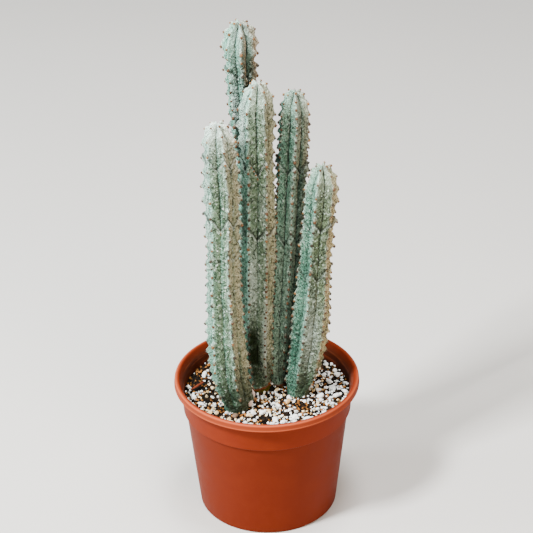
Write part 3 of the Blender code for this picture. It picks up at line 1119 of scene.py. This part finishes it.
@dataclass(frozen=True)
class Pot:
    """The nursery pot: a tapered body, a wider band above a soft step, and an overhanging lip."""

    height: float = 0.1178
    lip_radius: float = 0.0755
    lip_width: float = 0.0040
    lip_depth: float = 0.0054
    bead_height: float = 0.1098
    bead_reach: float = 0.0004
    band_top_radius: float = 0.0698
    band_foot: float = 0.0905
    band_foot_radius: float = 0.0686
    body_top: float = 0.0887
    body_top_radius: float = 0.0664
    base_radius: float = 0.0567
    base_chamfer: float = 0.0010
    wall: float = 0.0017
    floor: float = 0.0020
    throat_height: float = 0.1110
    drain_holes: int = 6
    drain_ring: float = 0.0380
    drain_radius: float = 0.0040
    sides: int = 160
    sharp_angle: float = 50.0

    def outline(self) -> list[Vector]:
        """Draw the pot's section from its floor, up inside, over the lip and down outside.

        Returns:
            The section's points.
        """
        lip_bottom = self.height - self.lip_depth
        lip_face = self.lip_radius - 0.0003
        bead = self.band_top_radius + self.bead_reach
        return rounded_outline([
            (0.0, self.floor, 0.0),
            (self.base_radius - self.wall, self.floor, 0.0020),
            (self.body_top_radius - self.wall, self.body_top, 0.0015),
            (self.band_foot_radius - self.wall, self.band_foot, 0.0012),
            (self.band_top_radius - self.wall, self.throat_height, 0.0060),
            (self.lip_radius - self.lip_width, self.height, 0.0013),
            (lip_face, self.height, 0.0020),
            (lip_face, lip_bottom + 0.0013, 0.0003),
            (self.lip_radius, lip_bottom + 0.0009, 0.0003),
            (self.lip_radius, lip_bottom, 0.0005),
            (bead, lip_bottom, 0.0005),
            (bead, self.bead_height, 0.0003),
            (self.band_top_radius, self.bead_height - self.bead_reach, 0.0003),
            (self.band_foot_radius, self.band_foot, 0.0004),
            (self.body_top_radius, self.body_top, 0.0006),
            (self.base_radius, self.base_chamfer, 0.0006),
            (self.base_radius - self.base_chamfer, 0.0, 0.0005),
            (0.0, 0.0, 0.0),
        ])

    def outer_radius(self, level: np.ndarray) -> np.ndarray:
        """Read the radius of the pot's outer face at some heights, without its lip."""
        heights = (0.0, self.body_top, self.band_foot, self.throat_height)
        radii = (self.base_radius, self.body_top_radius, self.band_foot_radius)
        return np.interp(level, heights, (*radii, self.band_top_radius))

    def pierce(self, pot: Object) -> Mesh:
        """Cut the drain holes through the pot's floor.

        Args:
            pot: The pot, which gets the pierced mesh.

        Returns:
            The pierced mesh.
        """
        bm = bmesh.new()
        for index in range(self.drain_holes):
            angle = FULL_TURN * (index + 0.5) / self.drain_holes
            centre = Vector((math.cos(angle), math.sin(angle), 0.0)) * self.drain_ring
            bmesh.ops.create_cone(
                bm, cap_ends=True, segments=40, radius1=self.drain_radius,
                radius2=self.drain_radius, depth=4.0 * self.floor,
                matrix=Matrix.Translation(centre),
            )
        drains = show(settle("drains", bm))
        cut = pot.modifiers.new("drains", "BOOLEAN")
        cut.operation = "DIFFERENCE"
        cut.object = drains
        bpy.context.view_layer.update()
        settled = pot.evaluated_get(bpy.context.evaluated_depsgraph_get())
        pierced = bpy.data.meshes.new_from_object(settled)
        pot.modifiers.clear()
        pot.data = pierced
        bpy.data.objects.remove(drains)
        pierced.set_sharp_from_angle(angle=math.radians(self.sharp_angle))
        return pierced

    def build(self, finish: PlasticFinish) -> Object:
        """Build the pot and mark the painted highlight and worn edges on its lip, its inside for
        painted shade, and painted shade on its outside.

        Args:
            finish: The plastic.

        Returns:
            The piece.
        """
        mesh = settle("pot_shell", turn_outline(self.outline(), self.sides))
        pot = add_piece(mesh, finish.material(), "pot_plastic", "pot")
        pierced = self.pierce(pot)
        x, y, level = read_points(pierced).T
        away = np.hypot(x, y)
        sideways = x / self.lip_radius
        lip_bottom = self.height - self.lip_depth
        # Painted highlight along the lip's rounded top and its lower bead, and a paler lip face,
        # partly worn edges; less towards the right, away from the light.
        crest = bell(self.height - 0.0004 - level, 0.0005)
        crest *= bell(self.lip_radius - 0.0014 - away, 0.0008)
        bead = bell(level - lip_bottom - 0.0010, 0.0004)
        bead *= ease(away, self.lip_radius - 0.0010, self.lip_radius - 0.0004)
        face = ease(away, self.lip_radius - 0.0030, self.lip_radius - 0.0020)
        wear_and_highlight = 1.0 - 0.4 * ease(sideways, 0.1, 0.8)
        rim = np.clip(wear_and_highlight * (0.8 * crest + 0.35 * bead + 0.18 * face), 0.0, 1.0)
        middle = self.outer_radius(level) - 0.5 * self.wall
        # Painted shade: a line under the band's step, a line along the base, and the band under the
        # lip except on its lit left side.
        step = bell(level - self.body_top - 0.0003, 0.0006)
        band = ease(level, self.band_foot, self.band_foot + 0.002) * (level < lip_bottom)
        soiled = 0.7 * step + 0.6 * bell(level, 0.0012) + 0.13 * band * ease(sideways, -0.6, -0.1)
        store_mark(pierced, "rim", rim)
        store_mark(pierced, "inside", (away < middle).astype(float))
        store_mark(pierced, "soiled", soiled * (away > middle))
        return pot


@dataclass(frozen=True)
class GrainKind:
    """One sort of grain in the soil's top: how many, how big, and how it lies."""

    name: str
    count: int
    smallest: float
    largest: float
    spread: float
    flat: float
    sunk: float
    facets: int
    finish: MineralFinish
    crowd: float = 0.8
    right_bias: float = 0.0
    pale: bool = True


@dataclass(frozen=True)
class Slip:
    """A single stone or chip that shows on the soil: its place, size, turn and finish."""

    name: str
    spot: Spot
    size: Spot
    turn: Spot
    finish: MineralFinish


@dataclass(frozen=True)
class SoilBed:
    """The soil: a dark filled mass and the grains that crowd its top."""

    kinds: tuple[GrainKind, ...]
    slips: tuple[Slip, ...]
    feet: tuple[Spot, ...]
    pot: Pot
    bed: MineralFinish
    brown_spots: Knots = ()
    level: float = 0.1022
    gap: float = 0.0003
    relief: float = 0.0009
    top_rings: int = 45
    coarse_waves: float = 190.0
    fine_waves: float = 520.0
    tint_waves: float = 330.0
    cuts: int = 7
    tries: int = 14
    grain_edge: float = 16.0
    slip_edge: float = 30.0
    slip_tint: float = 0.6
    slot: str = "gritty_soil"
    seed: int = 4

    def inside(self) -> float:
        """Work out the radius of the soil's top at the pot's wall.

        Returns:
            The radius.
        """
        pot = self.pot
        rise = (self.level - pot.band_foot) / (pot.throat_height - pot.band_foot)
        outer = pot.band_foot_radius + (pot.band_top_radius - pot.band_foot_radius) * rise
        return outer - pot.wall - self.gap

    def body(self, effects: Effects) -> Object:
        """Build the dark mass with its uneven top.

        Args:
            effects: The shared patterns.

        Returns:
            The piece.
        """
        pot = self.pot
        inset = pot.wall + self.gap
        floor = pot.floor + self.gap
        rim = self.inside()
        corners = [(rim * share, self.level) for share in np.linspace(0.0, 1.0, self.top_rings)]
        corners += [
            (pot.band_foot_radius - inset, pot.band_foot),
            (pot.body_top_radius - inset, pot.body_top),
            (pot.base_radius - inset, floor),
            (0.0, floor),
        ]
        bm = turn_outline([Vector((x, 0.0, z)) for x, z in corners], pot.sides)
        for vertex in bm.verts:
            if vertex.co.z > self.level - 0.0001:
                coarse = noise.noise(vertex.co * self.coarse_waves)
                fine = noise.noise(vertex.co * self.fine_waves)
                vertex.co.z += self.relief * coarse + 0.5 * self.relief * fine
        tint = bm.verts.layers.float.new("tint")
        for vertex in bm.verts:
            vertex[tint] = 0.5 + 0.5 * noise.noise(vertex.co * self.tint_waves)
        return add_piece(settle("soil_bed", bm), self.bed.material(effects), self.slot, "soil")

    def scatter(self) -> dict[str, list[Spot]]:
        """Scatter the grains, large ones first, each clear enough of those before it.

        Returns:
            For each sort, the place and size of its grains.
        """
        rng = random.Random(self.seed)
        inside = self.inside()
        taken = np.array([(*slip.spot[:2], 0.8 * max(slip.size[:2])) for slip in self.slips])
        result = {}
        for kind in self.kinds:
            placed = []
            tries = 0
            while len(placed) < kind.count and tries < kind.count * self.tries:
                tries += 1
                size = kind.smallest + (kind.largest - kind.smallest) * rng.random() ** kind.spread
                angle = rng.uniform(0.0, FULL_TURN)
                away = (inside - 0.6 * size) * math.sqrt(rng.random())
                x, y = away * math.cos(angle), away * math.sin(angle)
                if rng.random() > 1.0 + 0.5 * kind.right_bias * (x + 0.5 * y) / inside:
                    continue
                brown = any(math.hypot(x - a, y - b) < reach for a, b, reach in self.brown_spots)
                if brown and kind.pale and rng.random() < 0.95:
                    continue
                clearance = 0.7 * size
                if any(math.hypot(x - a, y - b) < reach + clearance for a, b, reach in self.feet):
                    continue
                clear = np.hypot(taken[:, 0] - x, taken[:, 1] - y)
                if np.any(clear < kind.crowd * (taken[:, 2] + size)):
                    continue
                placed.append((x, y, size))
                taken = np.vstack([taken, (x, y, size)])
            result[kind.name] = placed
        return result

    def cut_back(self, balls: np.ndarray, draw: np.random.Generator) -> np.ndarray:
        """Make balls angular: cut each back by a few flat planes.

        Args:
            balls: The points of each unit ball.
            draw: Draws the planes.

        Returns:
            The points of each grain.
        """
        ways = draw.normal(size=(len(balls), self.cuts, 3))
        ways /= np.linalg.norm(ways, axis=2, keepdims=True)
        far = draw.uniform(0.40, 0.80, size=(len(balls), 1, self.cuts))
        lean = np.maximum(balls @ ways.transpose(0, 2, 1), 0.001)
        share = np.minimum(1.0, (far / lean).min(axis=2))
        return balls * (share * draw.uniform(0.95, 1.05, size=share.shape))[:, :, None]

    def dress(
        self, mesh: Mesh, shapes: np.ndarray, tints: np.ndarray, sharp: float, material: Material
    ) -> Object:
        """Finish a mesh of stones as a piece.

        Args:
            mesh: The mesh.
            shapes: The points of each stone.
            tints: The tint of each stone.
            sharp: The angle in degrees past which an edge is sharp.
            material: The stones' material.

        Returns:
            The piece.
        """
        move_points(mesh, shapes.reshape(-1, 3))
        store_mark(mesh, "tint", np.repeat(tints, shapes.shape[1]))
        mesh.set_sharp_from_angle(angle=math.radians(sharp))
        return add_piece(mesh, material, self.slot)

    def grains(self, effects: Effects) -> list[Object]:
        """Build the scattered grains, one piece for each sort.

        Args:
            effects: The shared patterns.

        Returns:
            The pieces.
        """
        pieces = []
        places = self.scatter()
        for number, kind in enumerate(self.kinds):
            rng = random.Random(self.seed + number * 13 + 1)
            draw = np.random.default_rng(self.seed + number)
            count = len(places[kind.name])
            bm = bmesh.new()
            bmesh.ops.create_icosphere(bm, subdivisions=kind.facets, radius=1.0)
            mesh = repeat(kind.name, bm, count)
            shapes = self.cut_back(read_points(mesh).reshape(count, -1, 3), draw)
            for index, (x, y, size) in enumerate(places[kind.name]):
                turn = Euler([rng.uniform(0.0, 6.28) for _ in range(3)]).to_matrix()
                flat = kind.flat * rng.uniform(0.8, 1.2)
                shape = Matrix.Diagonal((size * rng.uniform(0.85, 1.6), size, size * flat))
                tilt = Euler((rng.gauss(0.0, 0.35), rng.gauss(0.0, 0.35), 0.0)).to_matrix()
                spin = Matrix.Rotation(rng.uniform(0.0, 6.28), 3, "Z")
                bump = noise.noise(Vector((x, y, self.level)) * self.coarse_waves)
                lift = size * kind.flat * (1.0 - 2.0 * kind.sunk) + rng.uniform(0.0, 0.0006)
                spot = np.array((x, y, self.level + self.relief * bump + lift))
                shapes[index] = shapes[index] @ np.array(tilt @ spin @ shape @ turn).T + spot
            tints = draw.uniform(size=count)
            material = kind.finish.material(effects)
            pieces.append(self.dress(mesh, shapes, tints, self.grain_edge, material))
        return pieces

    def single_slips(self, effects: Effects) -> list[Object]:
        """Build the stones and chips that show singly.

        Args:
            effects: The shared patterns.

        Returns:
            The pieces.
        """
        pieces = []
        for slip in self.slips:
            bm = bmesh.new()
            bmesh.ops.create_icosphere(bm, subdivisions=3, radius=1.0)
            mesh = settle(slip.name, bm)
            draw = np.random.default_rng(len(slip.name))
            ball = self.cut_back(read_points(mesh)[None], draw)
            turn = Euler([math.radians(angle) for angle in slip.turn]).to_matrix()
            whole = np.array(turn @ Matrix.Diagonal(slip.size))
            shape = ball @ whole.T + np.array(slip.spot)
            tint = np.full(1, self.slip_tint)
            material = slip.finish.material(effects)
            pieces.append(self.dress(mesh, shape, tint, self.slip_edge, material))
        return pieces


@dataclass(frozen=True)
class Lamp:
    """A soft square light: its place, its side, its power in watts and its colour."""

    name: str
    spot: Spot
    size: float
    power: float
    colour: Colour
    aim: Spot = (0.0, 0.0, 0.17)

    def build(self) -> Object:
        """Hang the light so that it faces the plant.

        Returns:
            The light.
        """
        data = bpy.data.lights.new(self.name, "AREA")
        data.size = self.size
        data.energy = self.power
        data.color = self.colour
        light = show(data)
        light.location = self.spot
        aim = Vector(self.aim) - Vector(self.spot)
        light.rotation_euler = aim.to_track_quat("-Z", "Y").to_euler()
        return light


@dataclass(frozen=True)
class Studio:
    """The pale floor, the soft lights and the camera."""

    lamps: tuple[Lamp, ...]
    photo_side: int = 533
    focal_pixels: float = 2000.0
    sensor: float = 36.0
    tilt: float = 29.74
    distance: float = 1.5781
    aim_height: float = 0.2192
    roll: float = -0.866
    shift_pixels: float = 1.43
    floor_side: float = 8.0
    floor_dark: Colour = tone(206, 203, 199)
    floor_light: Colour = tone(212, 209, 205)
    sky: Colour = (0.86, 0.88, 0.90)
    sky_strength: float = 0.08

    def camera(self) -> Object:
        """Stand the camera where the photograph was taken from.

        Returns:
            The camera.
        """
        data = bpy.data.cameras.new("camera")
        data.sensor_width = self.sensor
        data.lens = self.sensor * self.focal_pixels / self.photo_side
        data.shift_x = self.shift_pixels / self.photo_side
        camera = show(data)
        lean = math.radians(self.tilt)
        target = Vector((0.0, 0.0, self.aim_height))
        spot = target + Vector((0.0, -math.cos(lean), math.sin(lean))) * self.distance
        look = (target - spot).to_track_quat("-Z", "Y").to_matrix().to_4x4()
        turn = Matrix.Rotation(math.radians(self.roll), 4, "Z")
        camera.matrix_world = Matrix.Translation(spot) @ look @ turn
        bpy.context.scene.camera = camera
        return camera

    def floor(self) -> Object:
        """Lay the pale floor.

        Returns:
            The floor.
        """
        material, graph, shader = new_material("pale_floor")
        cloud = graph.noise(graph.place(), 3.0, 2.0)
        colour = graph.mix(cloud, self.floor_dark, self.floor_light)
        graph.feed(shader, {"Base Color": colour, "Roughness": 0.8})
        bm = bmesh.new()
        bmesh.ops.create_grid(bm, x_segments=2, y_segments=2, size=self.floor_side / 2.0)
        mesh = settle("floor", bm)
        mesh.materials.append(material)
        floor = show(mesh)
        return floor

    def build(self) -> None:
        """Set up the floor, the lights, the sky and the camera."""
        self.floor()
        for lamp in self.lamps:
            lamp.build()
        world = bpy.data.worlds.new("room")
        world.use_nodes = True
        sky = world.node_tree.nodes["Background"]
        Graph(world.node_tree).feed(sky, {"Color": self.sky, "Strength": self.sky_strength})
        bpy.context.scene.world = world
        self.camera()


GREY_GREEN = SkinFinish(
    flesh=tone(121, 145, 116), deep=tone(96, 120, 92), shade=tone(16, 28, 17), moss=tone(22, 34, 8)
)
OLIVE_GREEN = SkinFinish(
    flesh=tone(113, 132, 98), deep=tone(84, 98, 76), shade=tone(15, 28, 19),
    moss=tone(30, 76, 58), warm_light_tint=tone(214, 194, 144), frost=tone(204, 220, 208),
)
SEA_GREEN = SkinFinish(
    flesh=tone(109, 137, 122), deep=tone(66, 96, 82), shade=tone(13, 32, 27),
    moss=tone(20, 44, 34), warm_light_tint=tone(196, 166, 132),
)
# Its moss colour is pale: painted light on the shaded lower stem.
DUSKY_GREEN = SkinFinish(
    flesh=tone(118, 142, 121), deep=tone(82, 105, 88), shade=tone(13, 25, 19),
    moss=tone(164, 192, 172), frost=tone(196, 210, 200), warm_light_tint=tone(164, 158, 130),
)

STEMS = (
    Stem(
        name="stem_left", ribs=6, turn=20.0, top=0.3540, crown=0.0170, foot=0.0100,
        course=(
            (0.0860, -0.0238, -0.0236), (0.1060, -0.0246, -0.0235), (0.1330, -0.0290, -0.0230),
            (0.1560, -0.0311, -0.0225), (0.2020, -0.0323, -0.0217), (0.2900, -0.0321, -0.0201),
            (0.3540, -0.0341, -0.0189),
        ),
        girth=(
            (0.1060, 0.0124), (0.1200, 0.0143), (0.1550, 0.0149), (0.2000, 0.0133),
            (0.2450, 0.0121), (0.2700, 0.0126), (0.2980, 0.0133), (0.3310, 0.0118),
            (0.3540, 0.0110),
        ),
        joints=(
            Joint(0.2130, 0.0004, 0.0040, 0.2), Joint(0.2440, 0.0006, 0.0045, 0.5),
            Joint(0.2735, 0.0009, 0.0052, 1.0), Joint(0.3240, 0.0007, 0.0045, 1.0),
        ),
        seams=(
            (0.1000, 0.5), (0.1900, 0.4), (0.2400, 0.25), (0.2640, 0.2), (0.2760, 0.6),
            (0.3300, 0.7), (0.3600, 0.7),
        ),
        pitches=(
            (0.1000, 0.0100), (0.1800, 0.0095), (0.2600, 0.0080), (0.2800, 0.0112),
            (0.3500, 0.0112),
        ),
        finish=GREY_GREEN, base=Foot.RIBBED, seed=3, bloom=0.85, edge=1.15,
        loose_buds=((-0.5, 0.2680, 0.45), (-0.5, 0.2665, 0.40), (-0.5, 0.2647, 0.35)),
        patches=(
            Patch(0.112, 0.0, 0.034, 110.0, 0.9), Patch(0.152, -38.0, 0.020, 22.0, 0.35),
            Patch(0.290, -78.0, 0.090, 16.0, -0.42),
        ),
    ),
    Stem(
        name="stem_tall", ribs=7, turn=6.0, top=0.4140, crown=0.0190, foot=0.0090,
        course=(
            (0.0860, -0.0075, 0.0325), (0.2260, -0.0077, 0.0325), (0.2630, -0.0080, 0.0324),
            (0.2960, -0.0094, 0.0323), (0.3440, -0.0140, 0.0321), (0.3700, -0.0162, 0.0320),
            (0.4140, -0.0164, 0.0318),
        ),
        girth=(
            (0.1060, 0.0092), (0.1400, 0.0112), (0.2260, 0.0121), (0.2950, 0.0120),
            (0.3450, 0.0116), (0.3700, 0.0113), (0.3930, 0.0126), (0.4140, 0.0121),
        ),
        joints=(
            Joint(0.1980, 0.0005, 0.0045, 0.5), Joint(0.2900, 0.0006, 0.0050, 0.6),
            Joint(0.3400, 0.0005, 0.0040, 0.5), Joint(0.3740, 0.0014, 0.0040, 0.7),
        ),
        seams=((0.1000, 0.7), (0.3300, 0.7), (0.3750, 0.9), (0.4200, 0.8)),
        pitches=((0.1000, 0.0090), (0.3600, 0.0085), (0.4140, 0.0100)),
        finish=SEA_GREEN, base=Foot.CALLUSED, seed=5, bloom=0.34, wrinkle=1.4, smooth_top=0.038,
        patches=(
            Patch(0.290, 40.0, 0.070, 42.0, 0.75), Patch(0.375, 62.0, 0.030, 30.0, 0.55),
            Patch(0.318, -36.0, 0.022, 26.0, 1.0), Patch(0.348, -46.0, 0.018, 24.0, -0.6),
            Patch(0.389, 26.0, 0.014, 30.0, 0.5),
        ),
    ),
    Stem(
        name="stem_middle", ribs=6, turn=30.0, top=0.3770, crown=0.0220, foot=0.0078,
        course=(
            (0.0860, -0.0052, 0.0045), (0.1060, -0.0054, 0.0045), (0.1150, -0.0061, 0.0044),
            (0.2000, -0.0065, 0.0038), (0.2600, -0.0050, 0.0032), (0.3540, -0.0046, 0.0024),
            (0.3770, -0.0036, 0.0022),
        ),
        girth=(
            (0.1060, 0.0083), (0.1170, 0.0095), (0.1600, 0.0114), (0.2000, 0.0124),
            (0.2500, 0.0125), (0.3000, 0.0124), (0.3380, 0.0126), (0.3770, 0.0122),
        ),
        joints=(
            Joint(0.1800, 0.0004, 0.0040, 0.3), Joint(0.2515, 0.0010, 0.0050, 0.9),
            Joint(0.3095, 0.0010, 0.0074, 1.0),
        ),
        seams=(
            (0.1000, 0.3), (0.2000, 0.5), (0.2380, 0.55), (0.2515, 1.0), (0.2940, 0.4),
            (0.3095, 0.9), (0.3800, 0.8),
        ),
        pitches=((0.1000, 0.0088), (0.2900, 0.0085), (0.3150, 0.0115), (0.3700, 0.0112)),
        finish=GREY_GREEN, base=Foot.CALLUSED, seed=8, ring_height=0.1058, edge=1.1,
        loose_buds=(
            (-0.86, 0.3115, 0.40), (-0.74, 0.3080, 0.45), (-0.63, 0.3048, 0.40),
            (-0.51, 0.3005, 0.60),
        ),
        patches=(
            Patch(0.141, -24.0, 0.029, 40.0, 1.6), Patch(0.150, 40.0, 0.034, 20.0, -0.85),
            Patch(0.208, -16.0, 0.032, 26.0, -0.4), Patch(0.274, 14.0, 0.014, 18.0, -0.25),
            Patch(0.266, -74.0, 0.042, 22.0, 0.9), Patch(0.203, -78.0, 0.036, 24.0, 0.75),
            Patch(0.340, -70.0, 0.030, 16.0, -0.6),
        ),
    ),
    Stem(
        name="stem_inner", ribs=6, turn=5.0, top=0.3625, crown=0.0190, foot=0.0078,
        course=(
            (0.0860, 0.0116, 0.0125), (0.1060, 0.0118, 0.0130), (0.1330, 0.0132, 0.0143),
            (0.1820, 0.0165, 0.0170), (0.2280, 0.0188, 0.0180), (0.2980, 0.0224, 0.0180),
            (0.3400, 0.0242, 0.0180), (0.3625, 0.0250, 0.0180),
        ),
        girth=(
            (0.1060, 0.0083), (0.1330, 0.0098), (0.1800, 0.0117), (0.2260, 0.0121),
            (0.2540, 0.0119), (0.2780, 0.0113), (0.3100, 0.0122), (0.3360, 0.0111),
            (0.3625, 0.0106),
        ),
        joints=(
            Joint(0.1750, 0.0004, 0.0045, 0.4), Joint(0.2390, 0.0012, 0.0054, 1.0),
            Joint(0.3000, 0.0018, 0.0054, 1.0),
        ),
        seams=((0.1000, 0.6), (0.2000, 0.8), (0.3000, 1.0), (0.3650, 1.0)),
        pitches=((0.1000, 0.0080), (0.2800, 0.0066), (0.3100, 0.0062), (0.3600, 0.0062)),
        finish=DUSKY_GREEN, base=Foot.CALLUSED, seed=13, ring_height=0.1040, edge=0.10,
        patches=(
            Patch(0.180, -10.0, 0.070, 60.0, 0.65), Patch(0.264, 5.0, 0.026, 16.0, 0.9),
            Patch(0.125, -10.0, 0.024, 60.0, 1.0),
        ),
    ),
    Stem(
        name="stem_right", ribs=6, turn=40.0, top=0.3100, crown=0.0220, foot=0.0088,
        course=(
            (0.0860, 0.0222, -0.0030), (0.1060, 0.0252, -0.0030), (0.1190, 0.0288, -0.0031),
            (0.1430, 0.0329, -0.0031), (0.1900, 0.0374, -0.0033), (0.2440, 0.0411, -0.0035),
            (0.2800, 0.0440, -0.0036), (0.3100, 0.0451, -0.0037),
        ),
        girth=(
            (0.1060, 0.0095), (0.1190, 0.0119), (0.1500, 0.0139), (0.1900, 0.0132),
            (0.2130, 0.0121), (0.2460, 0.0116), (0.2700, 0.0122), (0.3100, 0.0120),
        ),
        joints=(
            Joint(0.1600, 0.0003, 0.0040, 0.3), Joint(0.2169, 0.0010, 0.0052, 1.0),
            Joint(0.2602, 0.0009, 0.0042, 1.0),
        ),
        seams=((0.1000, 0.45), (0.2000, 0.6), (0.2500, 0.9), (0.3100, 0.8)),
        pitches=((0.1000, 0.0090), (0.2400, 0.0080), (0.2600, 0.0100), (0.3100, 0.0095)),
        finish=OLIVE_GREEN, base=Foot.RIBBED, seed=21,
        patches=(
            Patch(0.112, -50.0, 0.014, 70.0, 0.7), Patch(0.222, -60.0, 0.022, 34.0, 0.6),
            Patch(0.148, -62.0, 0.046, 30.0, 0.8), Patch(0.160, 2.0, 0.034, 26.0, -0.6),
        ),
    ),
)

PERLITE = MineralFinish("perlite", tone(218, 224, 222), tone(255, 255, 253), 0.0005)
CREAM_STONE = MineralFinish("cream_stone", tone(192, 152, 92), tone(248, 232, 196))
AMBER_STONE = MineralFinish("amber_stone", tone(66, 38, 16), tone(190, 126, 62))
DARK_BARK = MineralFinish("dark_bark", tone(12, 9, 6), tone(50, 34, 21))
SOIL_MASS = MineralFinish("soil_mass", tone(5, 4, 2), tone(18, 12, 7), 0.0010, 0.95)
PINK_STONE = MineralFinish("pink_stone", tone(212, 182, 170), tone(238, 218, 207))
RED_BARK = MineralFinish("red_bark", tone(74, 30, 16), tone(126, 58, 34), 0.0008)
BROWN_CHIP = MineralFinish("brown_chip", tone(84, 66, 52), tone(128, 106, 88))
TAN_STONE = MineralFinish("tan_stone", tone(176, 112, 48), tone(246, 206, 146))

BROWN_SPOTS = (
    (0.0265, -0.0253, 0.0085), (-0.0470, -0.0110, 0.0070), (-0.0360, -0.0290, 0.0060),
    (-0.0610, 0.0130, 0.0080), (-0.0590, 0.0240, 0.0090), (-0.0500, 0.0330, 0.0070),
    (-0.0020, -0.0440, 0.0050),
)

SLIPS = tuple(Slip(*row) for row in (
    ("curved_bark", (-0.0568, 0.0038, 0.1060), (0.0094, 0.0014, 0.0011), (10, -8, 40), RED_BARK),
    ("pink_stone_front", (-0.0134, -0.0268, 0.1075), (0.0018, 0.0013, 0.0048), (6, 4, 0),
     PINK_STONE),
    ("pink_stone_back", (-0.0107, -0.0108, 0.1070), (0.0014, 0.0011, 0.0040), (-6, -10, 0),
     PINK_STONE),
    ("brown_chip", (-0.0254, -0.0392, 0.1046), (0.0028, 0.0022, 0.0009), (38, 0, 20), BROWN_CHIP),
    ("cream_pebble_left", (-0.0460, -0.0330, 0.1044), (0.0023, 0.0021, 0.0018), (0, 0, 10),
     CREAM_STONE),
    ("cream_pebble_right", (-0.0408, -0.0338, 0.1045), (0.0024, 0.0020, 0.0020), (0, 0, 60),
     CREAM_STONE),
    ("long_white_chip", (-0.0530, -0.0206, 0.1044), (0.0034, 0.0016, 0.0015), (0, 6, -12), PERLITE),
    ("tan_stone", (0.0168, -0.0200, 0.1048), (0.0034, 0.0016, 0.0018), (20, 0, 62), TAN_STONE),
    ("white_lump_front", (0.0430, -0.0126, 0.1050), (0.0034, 0.0028, 0.0024), (10, 0, 30), PERLITE),
    ("white_lump_back", (0.0581, 0.0190, 0.1050), (0.0036, 0.0028, 0.0024), (0, 12, 70), PERLITE),
    ("white_lump_middle", (0.0511, 0.0086, 0.1050), (0.0032, 0.0028, 0.0022), (0, 0, 120), PERLITE),
    ("white_lump_right", (0.0560, -0.0120, 0.1048), (0.0032, 0.0026, 0.0022), (0, 8, 15), PERLITE),
    ("white_lump_near", (0.0330, -0.0440, 0.1046), (0.0046, 0.0022, 0.0018), (0, 0, 14), PERLITE),
    ("white_oval_near", (-0.0130, -0.0520, 0.1044), (0.0036, 0.0020, 0.0018), (0, 0, -6), PERLITE),
))

KINDS = (
    GrainKind("perlite_large", 160, 0.0013, 0.0031, 1.5, 0.80, 0.15, 2, PERLITE, 0.82, 0.8),
    GrainKind("cream_grains", 150, 0.0010, 0.0019, 1.3, 0.80, 0.15, 2, CREAM_STONE, 0.85, -0.6),
    GrainKind("bark_bits", 520, 0.0008, 0.0020, 1.2, 0.55, 0.2, 1, DARK_BARK, 0.66, -0.4, False),
    GrainKind("perlite_small", 800, 0.0006, 0.0013, 1.1, 0.85, 0.10, 2, PERLITE, 0.66, 0.2),
    GrainKind("amber_grains", 700, 0.0006, 0.0014, 1.2, 0.85, 0.1, 1, AMBER_STONE, 0.6, -0.2,
              False),
)

LAMPS = (
    Lamp("key", (-0.96, -0.74, 1.60), 0.3, 102.0, (0.98, 1.0, 0.99)),
    Lamp("side", (-1.7, 0.0, 0.5), 0.5, 36.0, (0.92, 1.0, 0.98)),
    Lamp("top", (0.20, -0.10, 2.1), 0.6, 58.0, (1.0, 1.0, 1.0)),
    Lamp("fill", (0.75, -1.35, 0.80), 0.8, 25.0, (1.0, 0.84, 0.66)),
)

BARE_NOOK = (0.0034, 0.0019, 0.0030)


def main() -> None:
    """Build the potted cactus and the studio, and log each piece."""
    logging.basicConfig(level=logging.INFO, format="%(name)s: %(message)s")
    effects = Effects.make()
    pot = Pot()
    pieces = [pot.build(PlasticFinish())]
    thorn = ThornFinish().material()
    feet = []
    for stem in STEMS:
        pieces += stem.build(effects, thorn)
        x, y = curve_through(stem.course, np.array([stem.foot_top]))[0]
        feet.append((float(x), float(y), stem.foot))
    feet.append(BARE_NOOK)
    soil = SoilBed(KINDS, SLIPS, tuple(feet), pot, SOIL_MASS, BROWN_SPOTS)
    pieces += [soil.body(effects), *soil.grains(effects), *soil.single_slips(effects)]
    for piece in pieces:
        LOG.info("%s has %d faces", piece.name, len(piece.data.polygons))
    Studio(LAMPS).build()


if __name__ == "__main__":
    main()
